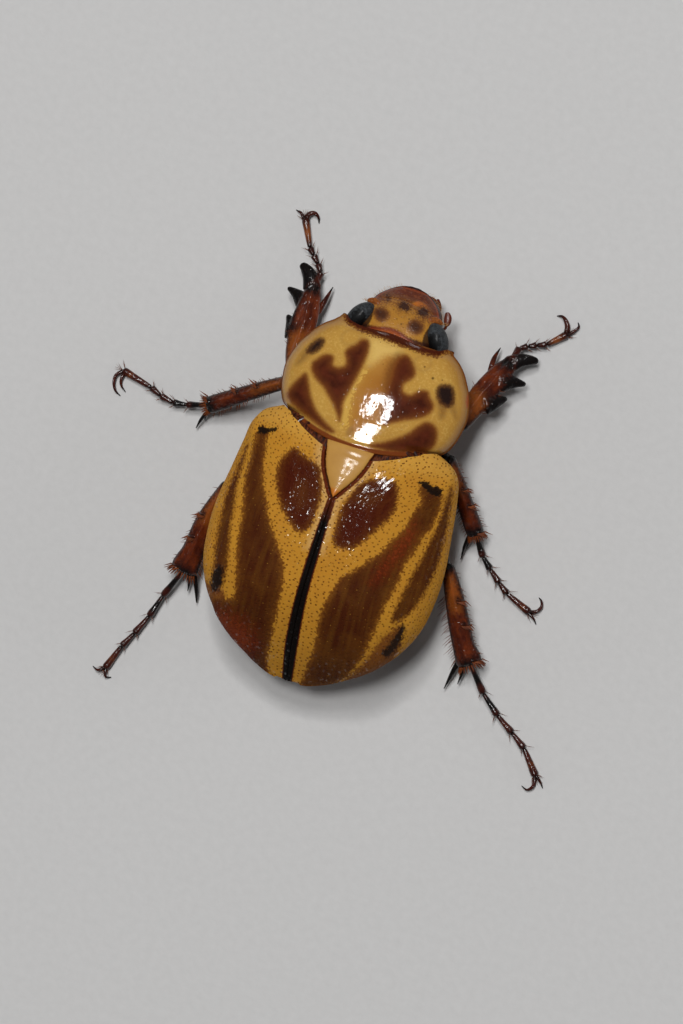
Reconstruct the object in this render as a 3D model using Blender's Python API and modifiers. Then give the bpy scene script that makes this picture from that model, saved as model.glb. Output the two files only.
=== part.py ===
"""A masked chafer beetle, life size, standing with its six legs spread.

Sizes are millimetres in the body's own frame: +Y towards the head, +X the animal's right,
+Z up from the floor. at() turns them to metres, with the origin under the middle of the box.
"""
import math

import bmesh
import bpy
from mathutils import Matrix, Vector

MM = 0.001
GAP = 0.3
SHELL = 0.55
CENTRE_SHIFT = 1.0

# Elytra: place along the body, half width, top of the suture, height of the widest line.
ELYTRA = (
    (2.0, 4.2, 6.7, 5.0),
    (1.6, 4.95, 6.9, 4.85),
    (1.0, 5.35, 7.1, 4.7),
    (0.0, 5.6, 7.35, 4.5),
    (-1.5, 5.81, 7.62, 4.3),
    (-3.5, 6.05, 7.8, 4.2),
    (-5.0, 6.03, 7.7, 4.1),
    (-6.5, 5.8, 7.3, 4.0),
    (-7.75, 5.25, 6.65, 3.9),
    (-8.85, 4.43, 5.8, 3.75),
    (-9.75, 3.4, 4.9, 3.55),
    (-10.5, 2.15, 4.0, 3.35),
    (-10.9, 1.15, 3.5, 3.2),
    (-11.0, 0.7, 3.35, 3.15),
)
ELYTRON_BASE_INNER = 0.75
ELYTRON_BASE_OUTER = 1.95
ELYTRON_TIP = -11.0
ELYTRON_POWER = 2.3
ELYTRON_EDGE_TURN = math.radians(112)
ELYTRON_STATIONS = 18
ELYTRON_STEPS = 11

# Scutellum: place along the body, half width.
SCUTELLUM = ((0.72, 1.06), (0.0, 0.93), (-0.55, 0.64), (-1.1, 0.3), (-1.5, 0.1))
SCUTELLUM_SINK = 0.08

# Pronotum: place along the body, half width, height of the side margin, height of the middle.
PRONOTUM = (
    (1.02, 3.7, 4.9, 6.88),
    (1.83, 3.7, 4.87, 6.84),
    (2.15, 4.18, 4.84, 6.82),
    (2.6, 4.48, 4.8, 6.78),
    (3.25, 4.68, 4.72, 6.68),
    (4.25, 4.77, 4.62, 6.46),
    (5.25, 4.5, 4.52, 6.12),
    (5.75, 4.22, 4.46, 5.9),
    (6.25, 3.9, 4.4, 5.66),
    (6.62, 3.56, 4.35, 5.46),
    (7.0, 3.1, 4.3, 5.2),
    (7.42, 2.85, 4.25, 4.9),
)
PRONOTUM_REAR = 1.02
PRONOTUM_REAR_SWEEP = 0.81
PRONOTUM_FRONT = 6.6
PRONOTUM_CORNER_REACH = 0.8
PRONOTUM_CORNER_POWER = 9
PRONOTUM_POWER = 2.15
PRONOTUM_RIM = 0.4
PRONOTUM_STATIONS = 11
PRONOTUM_STEPS = 18

# Head: place along the body, half width, top, underside.
HEAD = (
    (6.93, 1.85, 5.02, 2.75),
    (7.3, 1.98, 4.9, 2.55),
    (7.8, 2.0, 4.67, 2.4),
    (8.2, 1.98, 4.45, 2.35),
    (8.55, 1.84, 4.18, 2.35),
    (8.9, 1.66, 3.86, 2.4),
    (9.2, 1.36, 3.55, 2.48),
    (9.45, 1.02, 3.32, 2.56),
    (9.64, 0.66, 3.16, 2.64),
    (9.72, 0.35, 3.08, 2.7),
)
HEAD_POWER = 2.5
HEAD_SIDES = 20
EYE_CENTRE = (2.06, 7.64, 4.12)
EYE_RADII = (0.6, 0.66, 0.68)

# Underside of the thorax and belly: place along the body, lowest height.
BELLY = (
    (0.7, 1.95),
    (0.0, 1.6),
    (-1.5, 1.35),
    (-3.0, 1.4),
    (-5.0, 1.42),
    (-7.0, 1.5),
    (-8.5, 1.68),
    (-9.7, 2.0),
)
CORE_TOP_CLEAR = SHELL + GAP + 0.1
CORE_SIDE_CLEAR = SHELL + GAP + 0.5
CORE_PROBE = 0.05
CORE_WAIST = 3.5
CORE_POWER = 2.2
CORE_SIDES = 28
METATHORAX_FRONT = 0.7
METATHORAX_REAR = -3.1
ABDOMEN_REAR = -9.5
STERNITES = 5
STERNITE_STEP = 0.14

# Underside of the prothorax: place along the body, half width, lowest height.
PROSTERNUM = (
    (1.1, 3.2, 2.4),
    (2.2, 3.6, 2.05),
    (3.6, 3.85, 1.75),
    (5.0, 3.5, 1.8),
    (6.1, 2.7, 2.3),
    (6.5, 2.2, 2.6),
)
PROSTERNUM_TOP = 3.85

# Coxae fused to the underside: centre on the right side and radii.
FORE_COXA = ((1.0, 4.75, 1.95), (1.1, 0.55, 0.62))
MID_COXA = ((0.95, -0.05, 1.5), (0.95, 0.55, 0.5))
HIND_COXA = ((2.1, -2.85, 1.75), (2.2, 0.42, 0.6))

# Pygidium: height, half width, place of its outer face along the body.
PYGIDIUM = ((2.72, 2.55, -10.45), (2.4, 2.2, -10.5), (2.0, 1.55, -10.42), (1.65, 0.75, -10.25))
PYGIDIUM_THICK = 0.6

LIMB_SIDES = 10
TARSUS_SIDES = 8
SPINE_SIDES = 5
FOOT_WAIST = 0.25
FOOT_SPREAD = 0.04
SOLE_HEIGHT = 0.2
SOLE_SWELL = 0.29

# Each leg: the root under the body, then rows of centre, half width and half thickness for
# the femur and tibia, cones of base, tip and base radius for teeth, spurs and spines, the
# joints of the tarsus with half widths, and the two claws as rows of centre and radius.
LEGS = {
    "fore_left": {
        "femur": (
            ((-1.75, 4.75, 2.05), 0.62, 0.5),
            ((-2.8, 4.6, 2.2), 0.8, 0.55),
            ((-3.9, 4.25, 2.4), 0.72, 0.5),
            ((-4.75, 3.85, 2.5), 0.45, 0.42),
        ),
        "tibia": (
            ((-4.75, 3.85, 2.5), 0.38, 0.36),
            ((-4.98, 5.1, 2.05), 0.5, 0.36),
            ((-5.2, 6.7, 1.5), 0.66, 0.34),
            ((-5.22, 7.7, 1.15), 0.52, 0.32),
            ((-5.25, 8.25, 0.95), 0.42, 0.3),
        ),
        "cones": (
            ((-5.25, 8.2, 0.95), (-6.42, 9.26, 0.6), 0.36),
            ((-5.4, 7.35, 1.15), (-6.67, 7.91, 0.8), 0.34),
            ((-5.4, 6.15, 1.55), (-6.17, 6.59, 1.2), 0.34),
            ((-4.8, 7.1, 1.1), (-4.45, 8.64, 0.5), 0.16),
        ),
        "tarsus": (
            ((-5.26, 9.12, 0.6), 0.27),
            ((-5.56, 9.52, 0.48), 0.28),
            ((-5.93, 9.88, 0.42), 0.28),
            ((-6.24, 10.19, 0.4), 0.28),
            ((-6.97, 11.57, 0.24), 0.28),
        ),
        "claws": (
            (
                ((-6.93, 11.5, 0.3), 0.2),
                ((-6.84, 11.83, 0.36), 0.19),
                ((-6.57, 11.97, 0.36), 0.16),
                ((-6.34, 11.8, 0.3), 0.11),
                ((-6.24, 11.53, 0.18), 0.04),
            ),
            (
                ((-7.0, 11.45, 0.3), 0.16),
                ((-7.24, 11.76, 0.34), 0.12),
                ((-7.59, 11.84, 0.2), 0.04),
            ),
        ),
    },
    "fore_right": {
        "femur": (
            ((1.75, 4.75, 2.05), 0.62, 0.5),
            ((2.7, 4.55, 2.2), 0.8, 0.55),
            ((3.6, 4.15, 2.4), 0.7, 0.5),
            ((4.3, 3.75, 2.5), 0.45, 0.42),
        ),
        "tibia": (
            ((4.3, 3.75, 2.5), 0.4, 0.36),
            ((4.58, 5.0, 2.1), 0.56, 0.36),
            ((4.94, 6.3, 1.6), 0.64, 0.34),
            ((5.3, 7.3, 1.2), 0.54, 0.32),
            ((5.45, 7.8, 1.0), 0.42, 0.3),
        ),
        "cones": (
            ((5.5, 7.7, 1.0), (6.88, 8.16, 0.6), 0.36),
            ((5.3, 6.5, 1.45), (6.64, 6.81, 0.9), 0.34),
            ((5.0, 5.35, 1.9), (5.85, 5.74, 1.3), 0.34),
            ((4.65, 6.8, 1.3), (4.71, 8.27, 0.6), 0.16),
        ),
        "tarsus": (
            ((5.63, 8.52, 0.62), 0.27),
            ((6.0, 8.74, 0.48), 0.28),
            ((6.4, 8.93, 0.42), 0.28),
            ((6.86, 9.12, 0.4), 0.28),
            ((7.32, 9.42, 0.3), 0.25),
            ((7.72, 9.98, 0.24), 0.28),
        ),
        "claws": (
            (
                ((7.68, 9.95, 0.3), 0.2),
                ((7.59, 10.28, 0.36), 0.19),
                ((7.41, 10.59, 0.36), 0.16),
                ((7.15, 10.75, 0.3), 0.11),
                ((6.87, 10.68, 0.18), 0.04),
            ),
            (
                ((7.76, 9.9, 0.3), 0.16),
                ((7.97, 10.18, 0.32), 0.12),
                ((8.14, 10.49, 0.26), 0.09),
                ((8.0, 10.69, 0.18), 0.04),
            ),
        ),
    },
    "mid_left": {
        "femur": (
            ((-1.7, 0.2, 1.3), 0.55, 0.48),
            ((-2.6, 1.0, 1.7), 0.72, 0.5),
            ((-3.7, 2.3, 2.5), 0.62, 0.46),
            ((-4.6, 3.35, 3.1), 0.42, 0.38),
        ),
        "tibia": (
            ((-4.6, 3.35, 3.1), 0.33, 0.33),
            ((-5.9, 2.6, 2.4), 0.35, 0.33),
            ((-7.3, 1.75, 1.65), 0.42, 0.38),
            ((-8.5, 1.02, 1.0), 0.52, 0.42),
        ),
        "cones": (
            ((-8.4, 0.9, 0.95), (-8.99, -0.36, 0.3), 0.17),
            ((-8.5, 0.95, 1.0), (-8.68, 0.2, 0.4), 0.15),
            ((-8.4, 1.1, 1.0), (-9.05, 1.5, 0.75), 0.16),
            ((-6.3, 2.5, 2.3), (-6.35, 3.15, 2.35), 0.15),
            ((-7.4, 1.75, 1.7), (-7.55, 2.4, 1.75), 0.15),
        ),
        "tarsus": (
            ((-9.75, 0.63, 0.56), 0.28),
            ((-10.5, 0.53, 0.46), 0.29),
            ((-11.23, 0.66, 0.42), 0.29),
            ((-11.85, 0.92, 0.38), 0.29),
            ((-12.74, 1.3, 0.3), 0.25),
            ((-13.6, 1.33, 0.24), 0.28),
        ),
        "claws": (
            (
                ((-13.55, 1.35, 0.28), 0.16),
                ((-13.82, 0.97, 0.32), 0.14),
                ((-13.81, 0.57, 0.32), 0.12),
                ((-13.62, 0.21, 0.24), 0.09),
                ((-13.31, 0.03, 0.12), 0.04),
            ),
            (
                ((-13.45, 1.3, 0.28), 0.15),
                ((-13.5, 0.9, 0.32), 0.11),
                ((-13.42, 0.57, 0.28), 0.09),
                ((-13.12, 0.3, 0.14), 0.04),
            ),
        ),
    },
    "mid_right": {
        "femur": (
            ((1.7, 0.1, 1.3), 0.55, 0.48),
            ((2.55, 0.6, 1.75), 0.72, 0.5),
            ((3.5, 1.4, 2.5), 0.62, 0.46),
            ((4.3, 2.1, 3.15), 0.42, 0.38),
        ),
        "tibia": (
            ((4.3, 2.1, 3.15), 0.33, 0.33),
            ((4.95, 1.15, 2.5), 0.38, 0.34),
            ((5.75, 0.0, 1.75), 0.44, 0.38),
            ((6.45, -1.0, 1.1), 0.52, 0.42),
        ),
        "cones": (
            ((6.35, -0.9, 1.1), (6.08, -2.56, 0.35), 0.17),
            ((6.3, -0.9, 1.1), (6.2, -1.9, 0.45), 0.15),
            ((6.6, -0.9, 1.1), (7.15, -1.2, 0.85), 0.16),
            ((5.2, 0.85, 2.35), (5.85, 1.0, 2.3), 0.15),
            ((5.8, -0.05, 1.8), (6.45, 0.05, 1.75), 0.15),
        ),
        "tarsus": (
            ((7.15, -2.08, 0.6), 0.28),
            ((7.67, -2.55, 0.46), 0.29),
            ((8.29, -3.06, 0.42), 0.29),
            ((8.84, -3.46, 0.38), 0.29),
            ((9.61, -3.87, 0.3), 0.25),
            ((10.28, -4.05, 0.24), 0.28),
        ),
        "claws": (
            (
                ((10.2, -4.03, 0.28), 0.16),
                ((10.54, -3.87, 0.32), 0.14),
                ((10.71, -3.59, 0.32), 0.12),
                ((10.63, -3.31, 0.24), 0.09),
                ((10.43, -3.16, 0.12), 0.04),
            ),
            (
                ((10.2, -4.05, 0.28), 0.15),
                ((10.5, -4.25, 0.26), 0.1),
                ((10.72, -4.5, 0.12), 0.04),
            ),
        ),
    },
    "hind_left": {
        "femur": (
            ((-1.9, -3.3, 1.15), 0.7, 0.48),
            ((-3.2, -3.2, 1.35), 0.98, 0.55),
            ((-4.8, -2.9, 1.95), 0.85, 0.52),
            ((-6.1, -2.6, 2.6), 0.48, 0.42),
        ),
        "tibia": (
            ((-6.1, -2.6, 2.6), 0.36, 0.36),
            ((-6.48, -3.75, 2.2), 0.4, 0.36),
            ((-6.74, -4.85, 1.85), 0.54, 0.42),
            ((-6.92, -6.3, 1.45), 0.66, 0.46),
            ((-7.15, -7.35, 1.15), 0.78, 0.48),
        ),
        "cones": (
            ((-6.8, -7.2, 1.1), (-6.18, -8.83, 0.35), 0.18),
            ((-7.55, -7.2, 1.1), (-8.35, -9.05, 0.5), 0.18),
            ((-7.0, -7.1, 1.1), (-6.75, -8.5, 0.45), 0.15),
            ((-7.0, -5.0, 1.9), (-7.65, -5.3, 1.9), 0.16),
            ((-7.2, -6.4, 1.5), (-7.95, -6.7, 1.5), 0.16),
            ((-7.6, -7.2, 1.2), (-8.3, -7.7, 1.15), 0.16),
        ),
        "tarsus": (
            ((-7.88, -9.0, 0.56), 0.3),
            ((-8.26, -10.22, 0.44), 0.3),
            ((-8.73, -11.29, 0.42), 0.3),
            ((-9.15, -12.11, 0.38), 0.29),
            ((-9.66, -13.5, 0.24), 0.28),
        ),
        "claws": (
            (
                ((-9.62, -13.4, 0.28), 0.16),
                ((-9.97, -13.68, 0.3), 0.11),
                ((-10.32, -13.56, 0.14), 0.04),
            ),
            (
                ((-9.62, -13.4, 0.28), 0.16),
                ((-9.5, -13.88, 0.28), 0.1),
                ((-9.22, -13.81, 0.14), 0.04),
            ),
        ),
    },
    "hind_right": {
        "femur": (
            ((1.9, -3.3, 1.15), 0.7, 0.48),
            ((3.1, -3.3, 1.35), 0.98, 0.55),
            ((4.6, -3.25, 1.95), 0.85, 0.52),
            ((5.85, -3.1, 2.6), 0.48, 0.42),
        ),
        "tibia": (
            ((5.85, -3.1, 2.6), 0.38, 0.36),
            ((6.5, -4.25, 2.2), 0.44, 0.38),
            ((7.15, -5.55, 1.75), 0.54, 0.42),
            ((7.7, -6.6, 1.4), 0.62, 0.46),
            ((8.2, -7.3, 1.15), 0.72, 0.48),
        ),
        "cones": (
            ((7.85, -7.0, 1.1), (7.41, -9.03, 0.35), 0.18),
            ((8.1, -7.1, 1.1), (7.95, -8.6, 0.5), 0.15),
            ((8.5, -7.0, 1.15), (9.25, -7.2, 1.0), 0.16),
            ((7.2, -5.4, 1.8), (7.95, -5.35, 1.75), 0.16),
            ((7.75, -6.4, 1.45), (8.55, -6.35, 1.4), 0.16),
        ),
        "tarsus": (
            ((9.3, -8.62, 0.56), 0.3),
            ((10.32, -9.46, 0.44), 0.3),
            ((11.28, -10.06, 0.42), 0.3),
            ((12.09, -10.61, 0.38), 0.29),
            ((13.1, -11.8, 0.24), 0.28),
        ),
        "claws": (
            (
                ((13.05, -11.7, 0.28), 0.16),
                ((13.12, -12.27, 0.3), 0.12),
                ((12.88, -12.58, 0.24), 0.09),
                ((12.54, -12.46, 0.12), 0.04),
            ),
            (
                ((13.05, -11.7, 0.28), 0.16),
                ((13.4, -11.98, 0.26), 0.1),
                ((13.6, -12.25, 0.12), 0.04),
            ),
        ),
    },
}

# Antenna of the right side, as rows of centre and radius: the stalk, then the club.
ANTENNA_STALK = (
    ((2.05, 8.3, 2.85), 0.25),
    ((2.28, 8.42, 2.6), 0.25),
    ((2.25, 8.6, 2.35), 0.25),
)
ANTENNA_CLUB = (
    ((2.2, 8.62, 2.32), 0.2),
    ((2.1, 8.85, 2.25), 0.3),
    ((1.95, 9.15, 2.2), 0.33),
    ((1.75, 9.5, 2.15), 0.2),
)
TUCKED_TURN = math.radians(150)

# Mouthparts under the head: place along the body, half width, top, underside.
MOUTH = ((7.2, 0.9, 2.05, 1.75), (7.9, 1.1, 2.05, 1.45), (8.6, 0.95, 2.08, 1.5), (9.1, 0.5, 2.15, 1.75))
PALP = (
    ((0.75, 8.3, 1.75), 0.25),
    ((1.15, 8.75, 1.6), 0.25),
    ((1.2, 9.25, 1.5), 0.25),
    ((1.0, 9.6, 1.45), 0.14),
)

YELLOW = (0.46, 0.25, 0.035)
BROWN = (0.13, 0.035, 0.012)
DARK_BROWN = (0.05, 0.018, 0.01)
EYE_GREY = (0.025, 0.028, 0.032)


def at(x, y, z):
    return Vector((x, y + CENTRE_SHIFT, z)) * MM


def follow(rows, place):
    """The values at this place on the smooth curve through the rows, keyed by their first number."""
    rows = sorted(rows)
    if place <= rows[0][0]:
        return rows[0][1:]
    if place >= rows[-1][0]:
        return rows[-1][1:]
    i = max(k for k in range(len(rows) - 1) if rows[k][0] <= place)
    span = rows[i + 1][0] - rows[i][0]
    t = (place - rows[i][0]) / span

    def slope(k, j):
        low, high = rows[max(k - 1, 0)], rows[min(k + 1, len(rows) - 1)]
        return (high[j] - low[j]) / (high[0] - low[0]) * span

    values = []
    for j in range(1, len(rows[0])):
        a, b = rows[i][j], rows[i + 1][j]
        value = a * (1 + 2 * t) * (1 - t) ** 2 + b * t * t * (3 - 2 * t)
        value += slope(i, j) * t * (1 - t) ** 2 - slope(i + 1, j) * t * t * (1 - t)
        values.append(value)
    return tuple(values)


def arc(angle, power):
    """Across and up on a rounded-square arch of this power; angle 0 is the top."""
    across = math.copysign(abs(math.sin(angle)) ** (2 / power), math.sin(angle))
    up = math.copysign(abs(math.cos(angle)) ** (2 / power), math.cos(angle))
    return across, up


def material(name, colour, roughness):
    made = bpy.data.materials.new(name)
    made.use_nodes = True
    shader = made.node_tree.nodes["Principled BSDF"]
    shader.inputs["Base Color"].default_value = (*colour, 1.0)
    shader.inputs["Roughness"].default_value = roughness
    shader.inputs["Metallic"].default_value = 0.0
    return made


def mesh_object(name, mesh, collection):
    obj = bpy.data.objects.new(name, mesh)
    collection.objects.link(obj)
    return obj


def loft(name, rings, collection):
    """Skins closed rings of points and closes both ends with a strip across each end ring."""
    bm = bmesh.new()
    loops = [[bm.verts.new(at(*point)) for point in ring] for ring in rings]
    count = len(loops[0])
    for first, second in zip(loops, loops[1:]):
        for k in range(count):
            bm.faces.new((first[k], first[(k + 1) % count], second[(k + 1) % count], second[k]))
    for end in (loops[0], loops[-1]):
        for k in range(count // 2 - 1):
            bm.faces.new((end[k], end[k + 1], end[count - 2 - k], end[count - 1 - k]))
    bmesh.ops.recalc_face_normals(bm, faces=bm.faces)
    mesh = bpy.data.meshes.new(name)
    bm.to_mesh(mesh)
    bm.free()
    return mesh_object(name, mesh, collection)


def limb_rings(rows, extra, sides, round_end):
    """Elliptic rings along a limb: the width lies level, and the start is rounded like a ball."""
    points = [Vector(row[0]) for row in rows]
    stations = []
    for k, (_, half_width, half_thick) in enumerate(rows):
        ahead = points[min(k + 1, len(points) - 1)] - points[max(k - 1, 0)]
        stations.append((points[k], ahead.normalized(), half_width + extra, half_thick + extra))
    start, first_way, wide, thick = stations[0]
    finish, last_way, end_wide, end_thick = stations[-1]
    rounds = ((0.94, 0.35), (0.64, 0.77))
    head = [(start - first_way * wide * b, first_way, wide * s, thick * s) for b, s in rounds]
    tail = [
        (finish + last_way * end_thick * b, last_way, end_wide * s, end_thick * s)
        for b, s in reversed(rounds)
    ]
    if not round_end:
        tail = [(finish + last_way * extra, last_way, end_wide, end_thick)] if extra else []
    rings = []
    for centre, way, half_width, half_thick in head + stations + tail:
        side = way.cross(Vector((0, 0, 1))).normalized()
        rise = side.cross(way).normalized()
        ring = []
        for k in range(sides):
            angle = 2 * math.pi * (k + 0.5) / sides
            ring.append(
                centre + side * half_width * math.cos(angle) + rise * half_thick * math.sin(angle)
            )
        rings.append(ring)
    return rings


def cone(name, base, tip, radius, collection):
    """A tapered spine or tooth with five sides, from a base sunk in its limb to a blunt tip."""
    base, tip = at(*base), at(*tip)
    way = tip - base
    bm = bmesh.new()
    bmesh.ops.create_cone(
        bm,
        cap_ends=True,
        segments=SPINE_SIDES,
        radius1=radius * MM,
        radius2=0.2 * radius * MM,
        depth=way.length,
    )
    turn = way.to_track_quat("Z", "Y").to_matrix().to_4x4()
    bmesh.ops.transform(bm, matrix=Matrix.Translation((base + tip) / 2) @ turn, verts=bm.verts)
    mesh = bpy.data.meshes.new(name)
    bm.to_mesh(mesh)
    bm.free()
    return mesh_object(name, mesh, collection)


def ellipsoid(name, centre, radii, collection, segments=16, rings=10):
    bm = bmesh.new()
    bmesh.ops.create_uvsphere(bm, u_segments=segments, v_segments=rings, radius=MM)
    size = Matrix.Diagonal((*radii, 1.0))
    bmesh.ops.transform(bm, matrix=Matrix.Translation(at(*centre)) @ size, verts=bm.verts)
    mesh = bpy.data.meshes.new(name)
    bm.to_mesh(mesh)
    bm.free()
    return mesh_object(name, mesh, collection)


def largest_surface(mesh):
    """Drops every closed surface but the one with the most faces."""
    bm = bmesh.new()
    bm.from_mesh(mesh)
    left = set(bm.faces)
    groups = []
    while left:
        front = [left.pop()]
        group = set(front)
        while front:
            face = front.pop()
            for edge in face.edges:
                for other in edge.link_faces:
                    if other in left:
                        left.discard(other)
                        group.add(other)
                        front.append(other)
        groups.append(group)
    keep = max(groups, key=len)
    bmesh.ops.delete(bm, geom=[f for f in bm.faces if f not in keep], context="FACES")
    bm.to_mesh(mesh)
    bm.free()


def combine(obj, others, operation):
    """Joins the others to the object, or cuts them from it, and removes them."""
    group = bpy.data.collections.new("combined")
    for other in others:
        group.objects.link(other)
    boolean = obj.modifiers.new("combine", "BOOLEAN")
    boolean.operation = operation
    boolean.operand_type = "COLLECTION"
    boolean.collection = group
    bpy.context.view_layer.update()
    graph = bpy.context.evaluated_depsgraph_get()
    mesh = bpy.data.meshes.new_from_object(obj.evaluated_get(graph))
    obj.modifiers.clear()
    obj.data = mesh
    for other in others:
        bpy.data.objects.remove(other)
    bpy.data.collections.remove(group)
    largest_surface(mesh)


def outer_skin(y, angle):
    """A point on the outside of the right elytron; angle 0 is the suture line."""
    half_width, top, widest = follow(ELYTRA, y)
    across, up = arc(angle, ELYTRON_POWER)
    rise = top - widest if up > 0 else 0.25 * (top - widest)
    return Vector((half_width * across, y, widest + rise * up))


def elytron(name, side, collection):
    """One wing case: an open sheet over half the back, with a shell's thickness."""
    bm = bmesh.new()
    grid = []
    for i in range(ELYTRON_STATIONS + 1):
        share = (1 - math.cos(math.pi * i / ELYTRON_STATIONS)) / 2
        inner_y = ELYTRON_BASE_INNER + (ELYTRON_TIP - ELYTRON_BASE_INNER) * share
        outer_y = ELYTRON_BASE_OUTER + (ELYTRON_TIP - ELYTRON_BASE_OUTER) * share
        inner_x = GAP / 2
        if inner_y > SCUTELLUM[-1][0] - GAP:
            inner_x = max(inner_x, follow(SCUTELLUM, inner_y)[0] + GAP)
        half_width = follow(ELYTRA, inner_y)[0]
        start = math.asin(min(1.0, inner_x / half_width) ** (ELYTRON_POWER / 2))
        row = []
        for j in range(ELYTRON_STEPS + 1):
            share_across = j / ELYTRON_STEPS
            angle = start + (ELYTRON_EDGE_TURN - start) * share_across
            y = inner_y + (outer_y - inner_y) * min(1.0, 1.3 * share_across)
            point = outer_skin(y, angle)
            row.append(bm.verts.new(at(side * point.x, point.y, point.z)))
        grid.append(row)
    for first, second in zip(grid, grid[1:]):
        for j in range(ELYTRON_STEPS):
            corners = (first[j], first[j + 1], second[j + 1], second[j])
            bm.faces.new(tuple(reversed(corners)) if side > 0 else corners)
    mesh = bpy.data.meshes.new(name)
    bm.to_mesh(mesh)
    bm.free()
    obj = mesh_object(name, mesh, collection)
    shell = obj.modifiers.new("shell", "SOLIDIFY")
    shell.thickness = SHELL * MM
    shell.offset = -1
    shell.use_rim = True
    return obj


def scutellum(collection):
    rings = []
    steps = 6
    for y, half_width in SCUTELLUM:
        top = follow(ELYTRA, y)[1] - SCUTELLUM_SINK
        upper = []
        lower = []
        for k in range(steps + 1):
            across = 2 * k / steps - 1
            crown = 0.12 * (1 - across * across)
            upper.append((half_width * across, y, top - 0.12 + crown))
            lower.append((half_width * across, y, top - 0.12 - SHELL + 0.3 * crown))
        rings.append(upper + lower[::-1])
    return loft("scutellum", rings, collection)


def pronotum(collection):
    """The shield behind the head: an arched top with curved front and rear edges, solid below."""
    rings = []
    for i in range(PRONOTUM_STATIONS + 1):
        share = i / PRONOTUM_STATIONS
        upper = []
        lower = []
        for k in range(PRONOTUM_STEPS + 1):
            angle = math.pi * (k / PRONOTUM_STEPS - 0.5)
            across, up = arc(angle, PRONOTUM_POWER)
            if k in (0, PRONOTUM_STEPS):
                up = 0.0
            rear = PRONOTUM_REAR + PRONOTUM_REAR_SWEEP * across * across
            front = PRONOTUM_FRONT + PRONOTUM_CORNER_REACH * abs(across) ** PRONOTUM_CORNER_POWER
            y = rear + (front - rear) * share
            half_width, margin, top = follow(PRONOTUM, y)
            upper.append((half_width * across, y, margin + (top - margin) * up))
            lower.append((half_width * across, y, margin - PRONOTUM_RIM))
        rings.append(upper + lower[::-1])
    return loft("pronotum", rings, collection)


def oval_rings(rows, power, sides):
    """Rings from rows of place, half width, top and underside."""
    rings = []
    for y, half_width, top, bottom in rows:
        middle = (top + bottom) / 2
        ring = []
        for k in range(sides):
            across, up = arc(2 * math.pi * (k + 0.5) / sides, power)
            ring.append((half_width * across, y, middle + (top - middle) * up))
        rings.append(ring)
    return rings


def core_ring(y, lowest):
    """A ring of the body under the elytra: inside the wing cases above, and the belly below."""
    half_width, top, _ = follow(ELYTRA, y)
    ahead = follow(ELYTRA, y + CORE_PROBE)
    side_slope = (ahead[0] - half_width) / CORE_PROBE
    top_slope = (ahead[1] - top) / CORE_PROBE
    half_width -= CORE_SIDE_CLEAR * math.hypot(1, side_slope)
    crest = top - CORE_TOP_CLEAR * math.hypot(1, top_slope)
    ring = []
    for k in range(CORE_SIDES):
        across, up = arc(2 * math.pi * (k + 0.5) / CORE_SIDES, CORE_POWER)
        reach = crest - CORE_WAIST if up > 0 else CORE_WAIST - lowest
        ring.append((half_width * across, y, CORE_WAIST + reach * up))
    return ring


def trunk(name, places, steps_down, collection):
    """A length of the body under the elytra, with its plates stepped by these small drops."""
    rings = []
    for y, drop in zip(places, steps_down):
        lowest = follow(BELLY, y)[0] - drop
        rings.append(core_ring(y, lowest))
    return loft(name, rings, collection)


def prosternum(collection):
    rings = []
    for i in range(9):
        y = PROSTERNUM[0][0] + (PROSTERNUM[-1][0] - PROSTERNUM[0][0]) * i / 8
        half_width, lowest = follow(PROSTERNUM, y)
        ring = []
        sides = 18
        for k in range(sides):
            across, up = arc(2 * math.pi * (k + 0.5) / sides, CORE_POWER)
            middle = PROSTERNUM_TOP - 0.35
            height = middle + 0.35 * up if up > 0 else middle + (middle - lowest) * up
            ring.append((half_width * across, y, height))
        rings.append(ring)
    return loft("prosternum", rings, collection)


def pygidium(collection):
    rings = []
    steps = 8
    for z, half_width, face in PYGIDIUM:
        outer = []
        inner = []
        for k in range(steps + 1):
            across = 2 * k / steps - 1
            bow = 0.55 * across * across
            outer.append((half_width * across, face + bow, z))
            inner.append((half_width * across, face + bow + PYGIDIUM_THICK, z))
        rings.append(outer + inner[::-1])
    return loft("pygidium", rings, collection)


def tarsus_rows(shin, joints):
    """Rows of the beaded foot, rooted on the end of the shin: each segment swells to its end."""
    shin_end, shin_before = Vector(shin[-1][0]), Vector(shin[-2][0])
    root = shin_end + (shin_end - shin_before).normalized() * (GAP + FOOT_WAIST)
    rows = [(root, FOOT_WAIST, FOOT_WAIST)]
    for joint, swell in joints:
        first, second = Vector(rows[-1][0]), Vector(joint)
        rows.append((first.lerp(second, 0.35), FOOT_WAIST, FOOT_WAIST))
        rows.append((first.lerp(second, 0.85), swell + FOOT_SPREAD, swell))
        rows.append((second, FOOT_WAIST, FOOT_WAIST))
    before, toe = Vector(rows[-4][0]), Vector(joints[-1][0])
    toe.z = SOLE_HEIGHT
    heel = before.lerp(toe, 0.6)
    heel.z = SOLE_HEIGHT
    return rows[:-2] + [(heel, SOLE_SWELL, SOLE_SWELL), (toe, SOLE_SWELL, SOLE_SWELL)]


def rest_on_floor(mesh):
    """Flattens what would pass below the floor, so that the foot stands on a small flat."""
    for vertex in mesh.vertices:
        vertex.co.z = max(vertex.co.z, 0.0)


for old in list(bpy.data.objects):
    bpy.data.objects.remove(old, do_unlink=True)
beetle = bpy.data.collections.new("beetle")
cutters = bpy.data.collections.new("cutters")
bpy.context.scene.collection.children.link(beetle)
bpy.context.scene.collection.children.link(cutters)


def cutter(obj):
    obj.hide_render = True
    obj.display_type = "WIRE"
    return obj


made = {}

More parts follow.
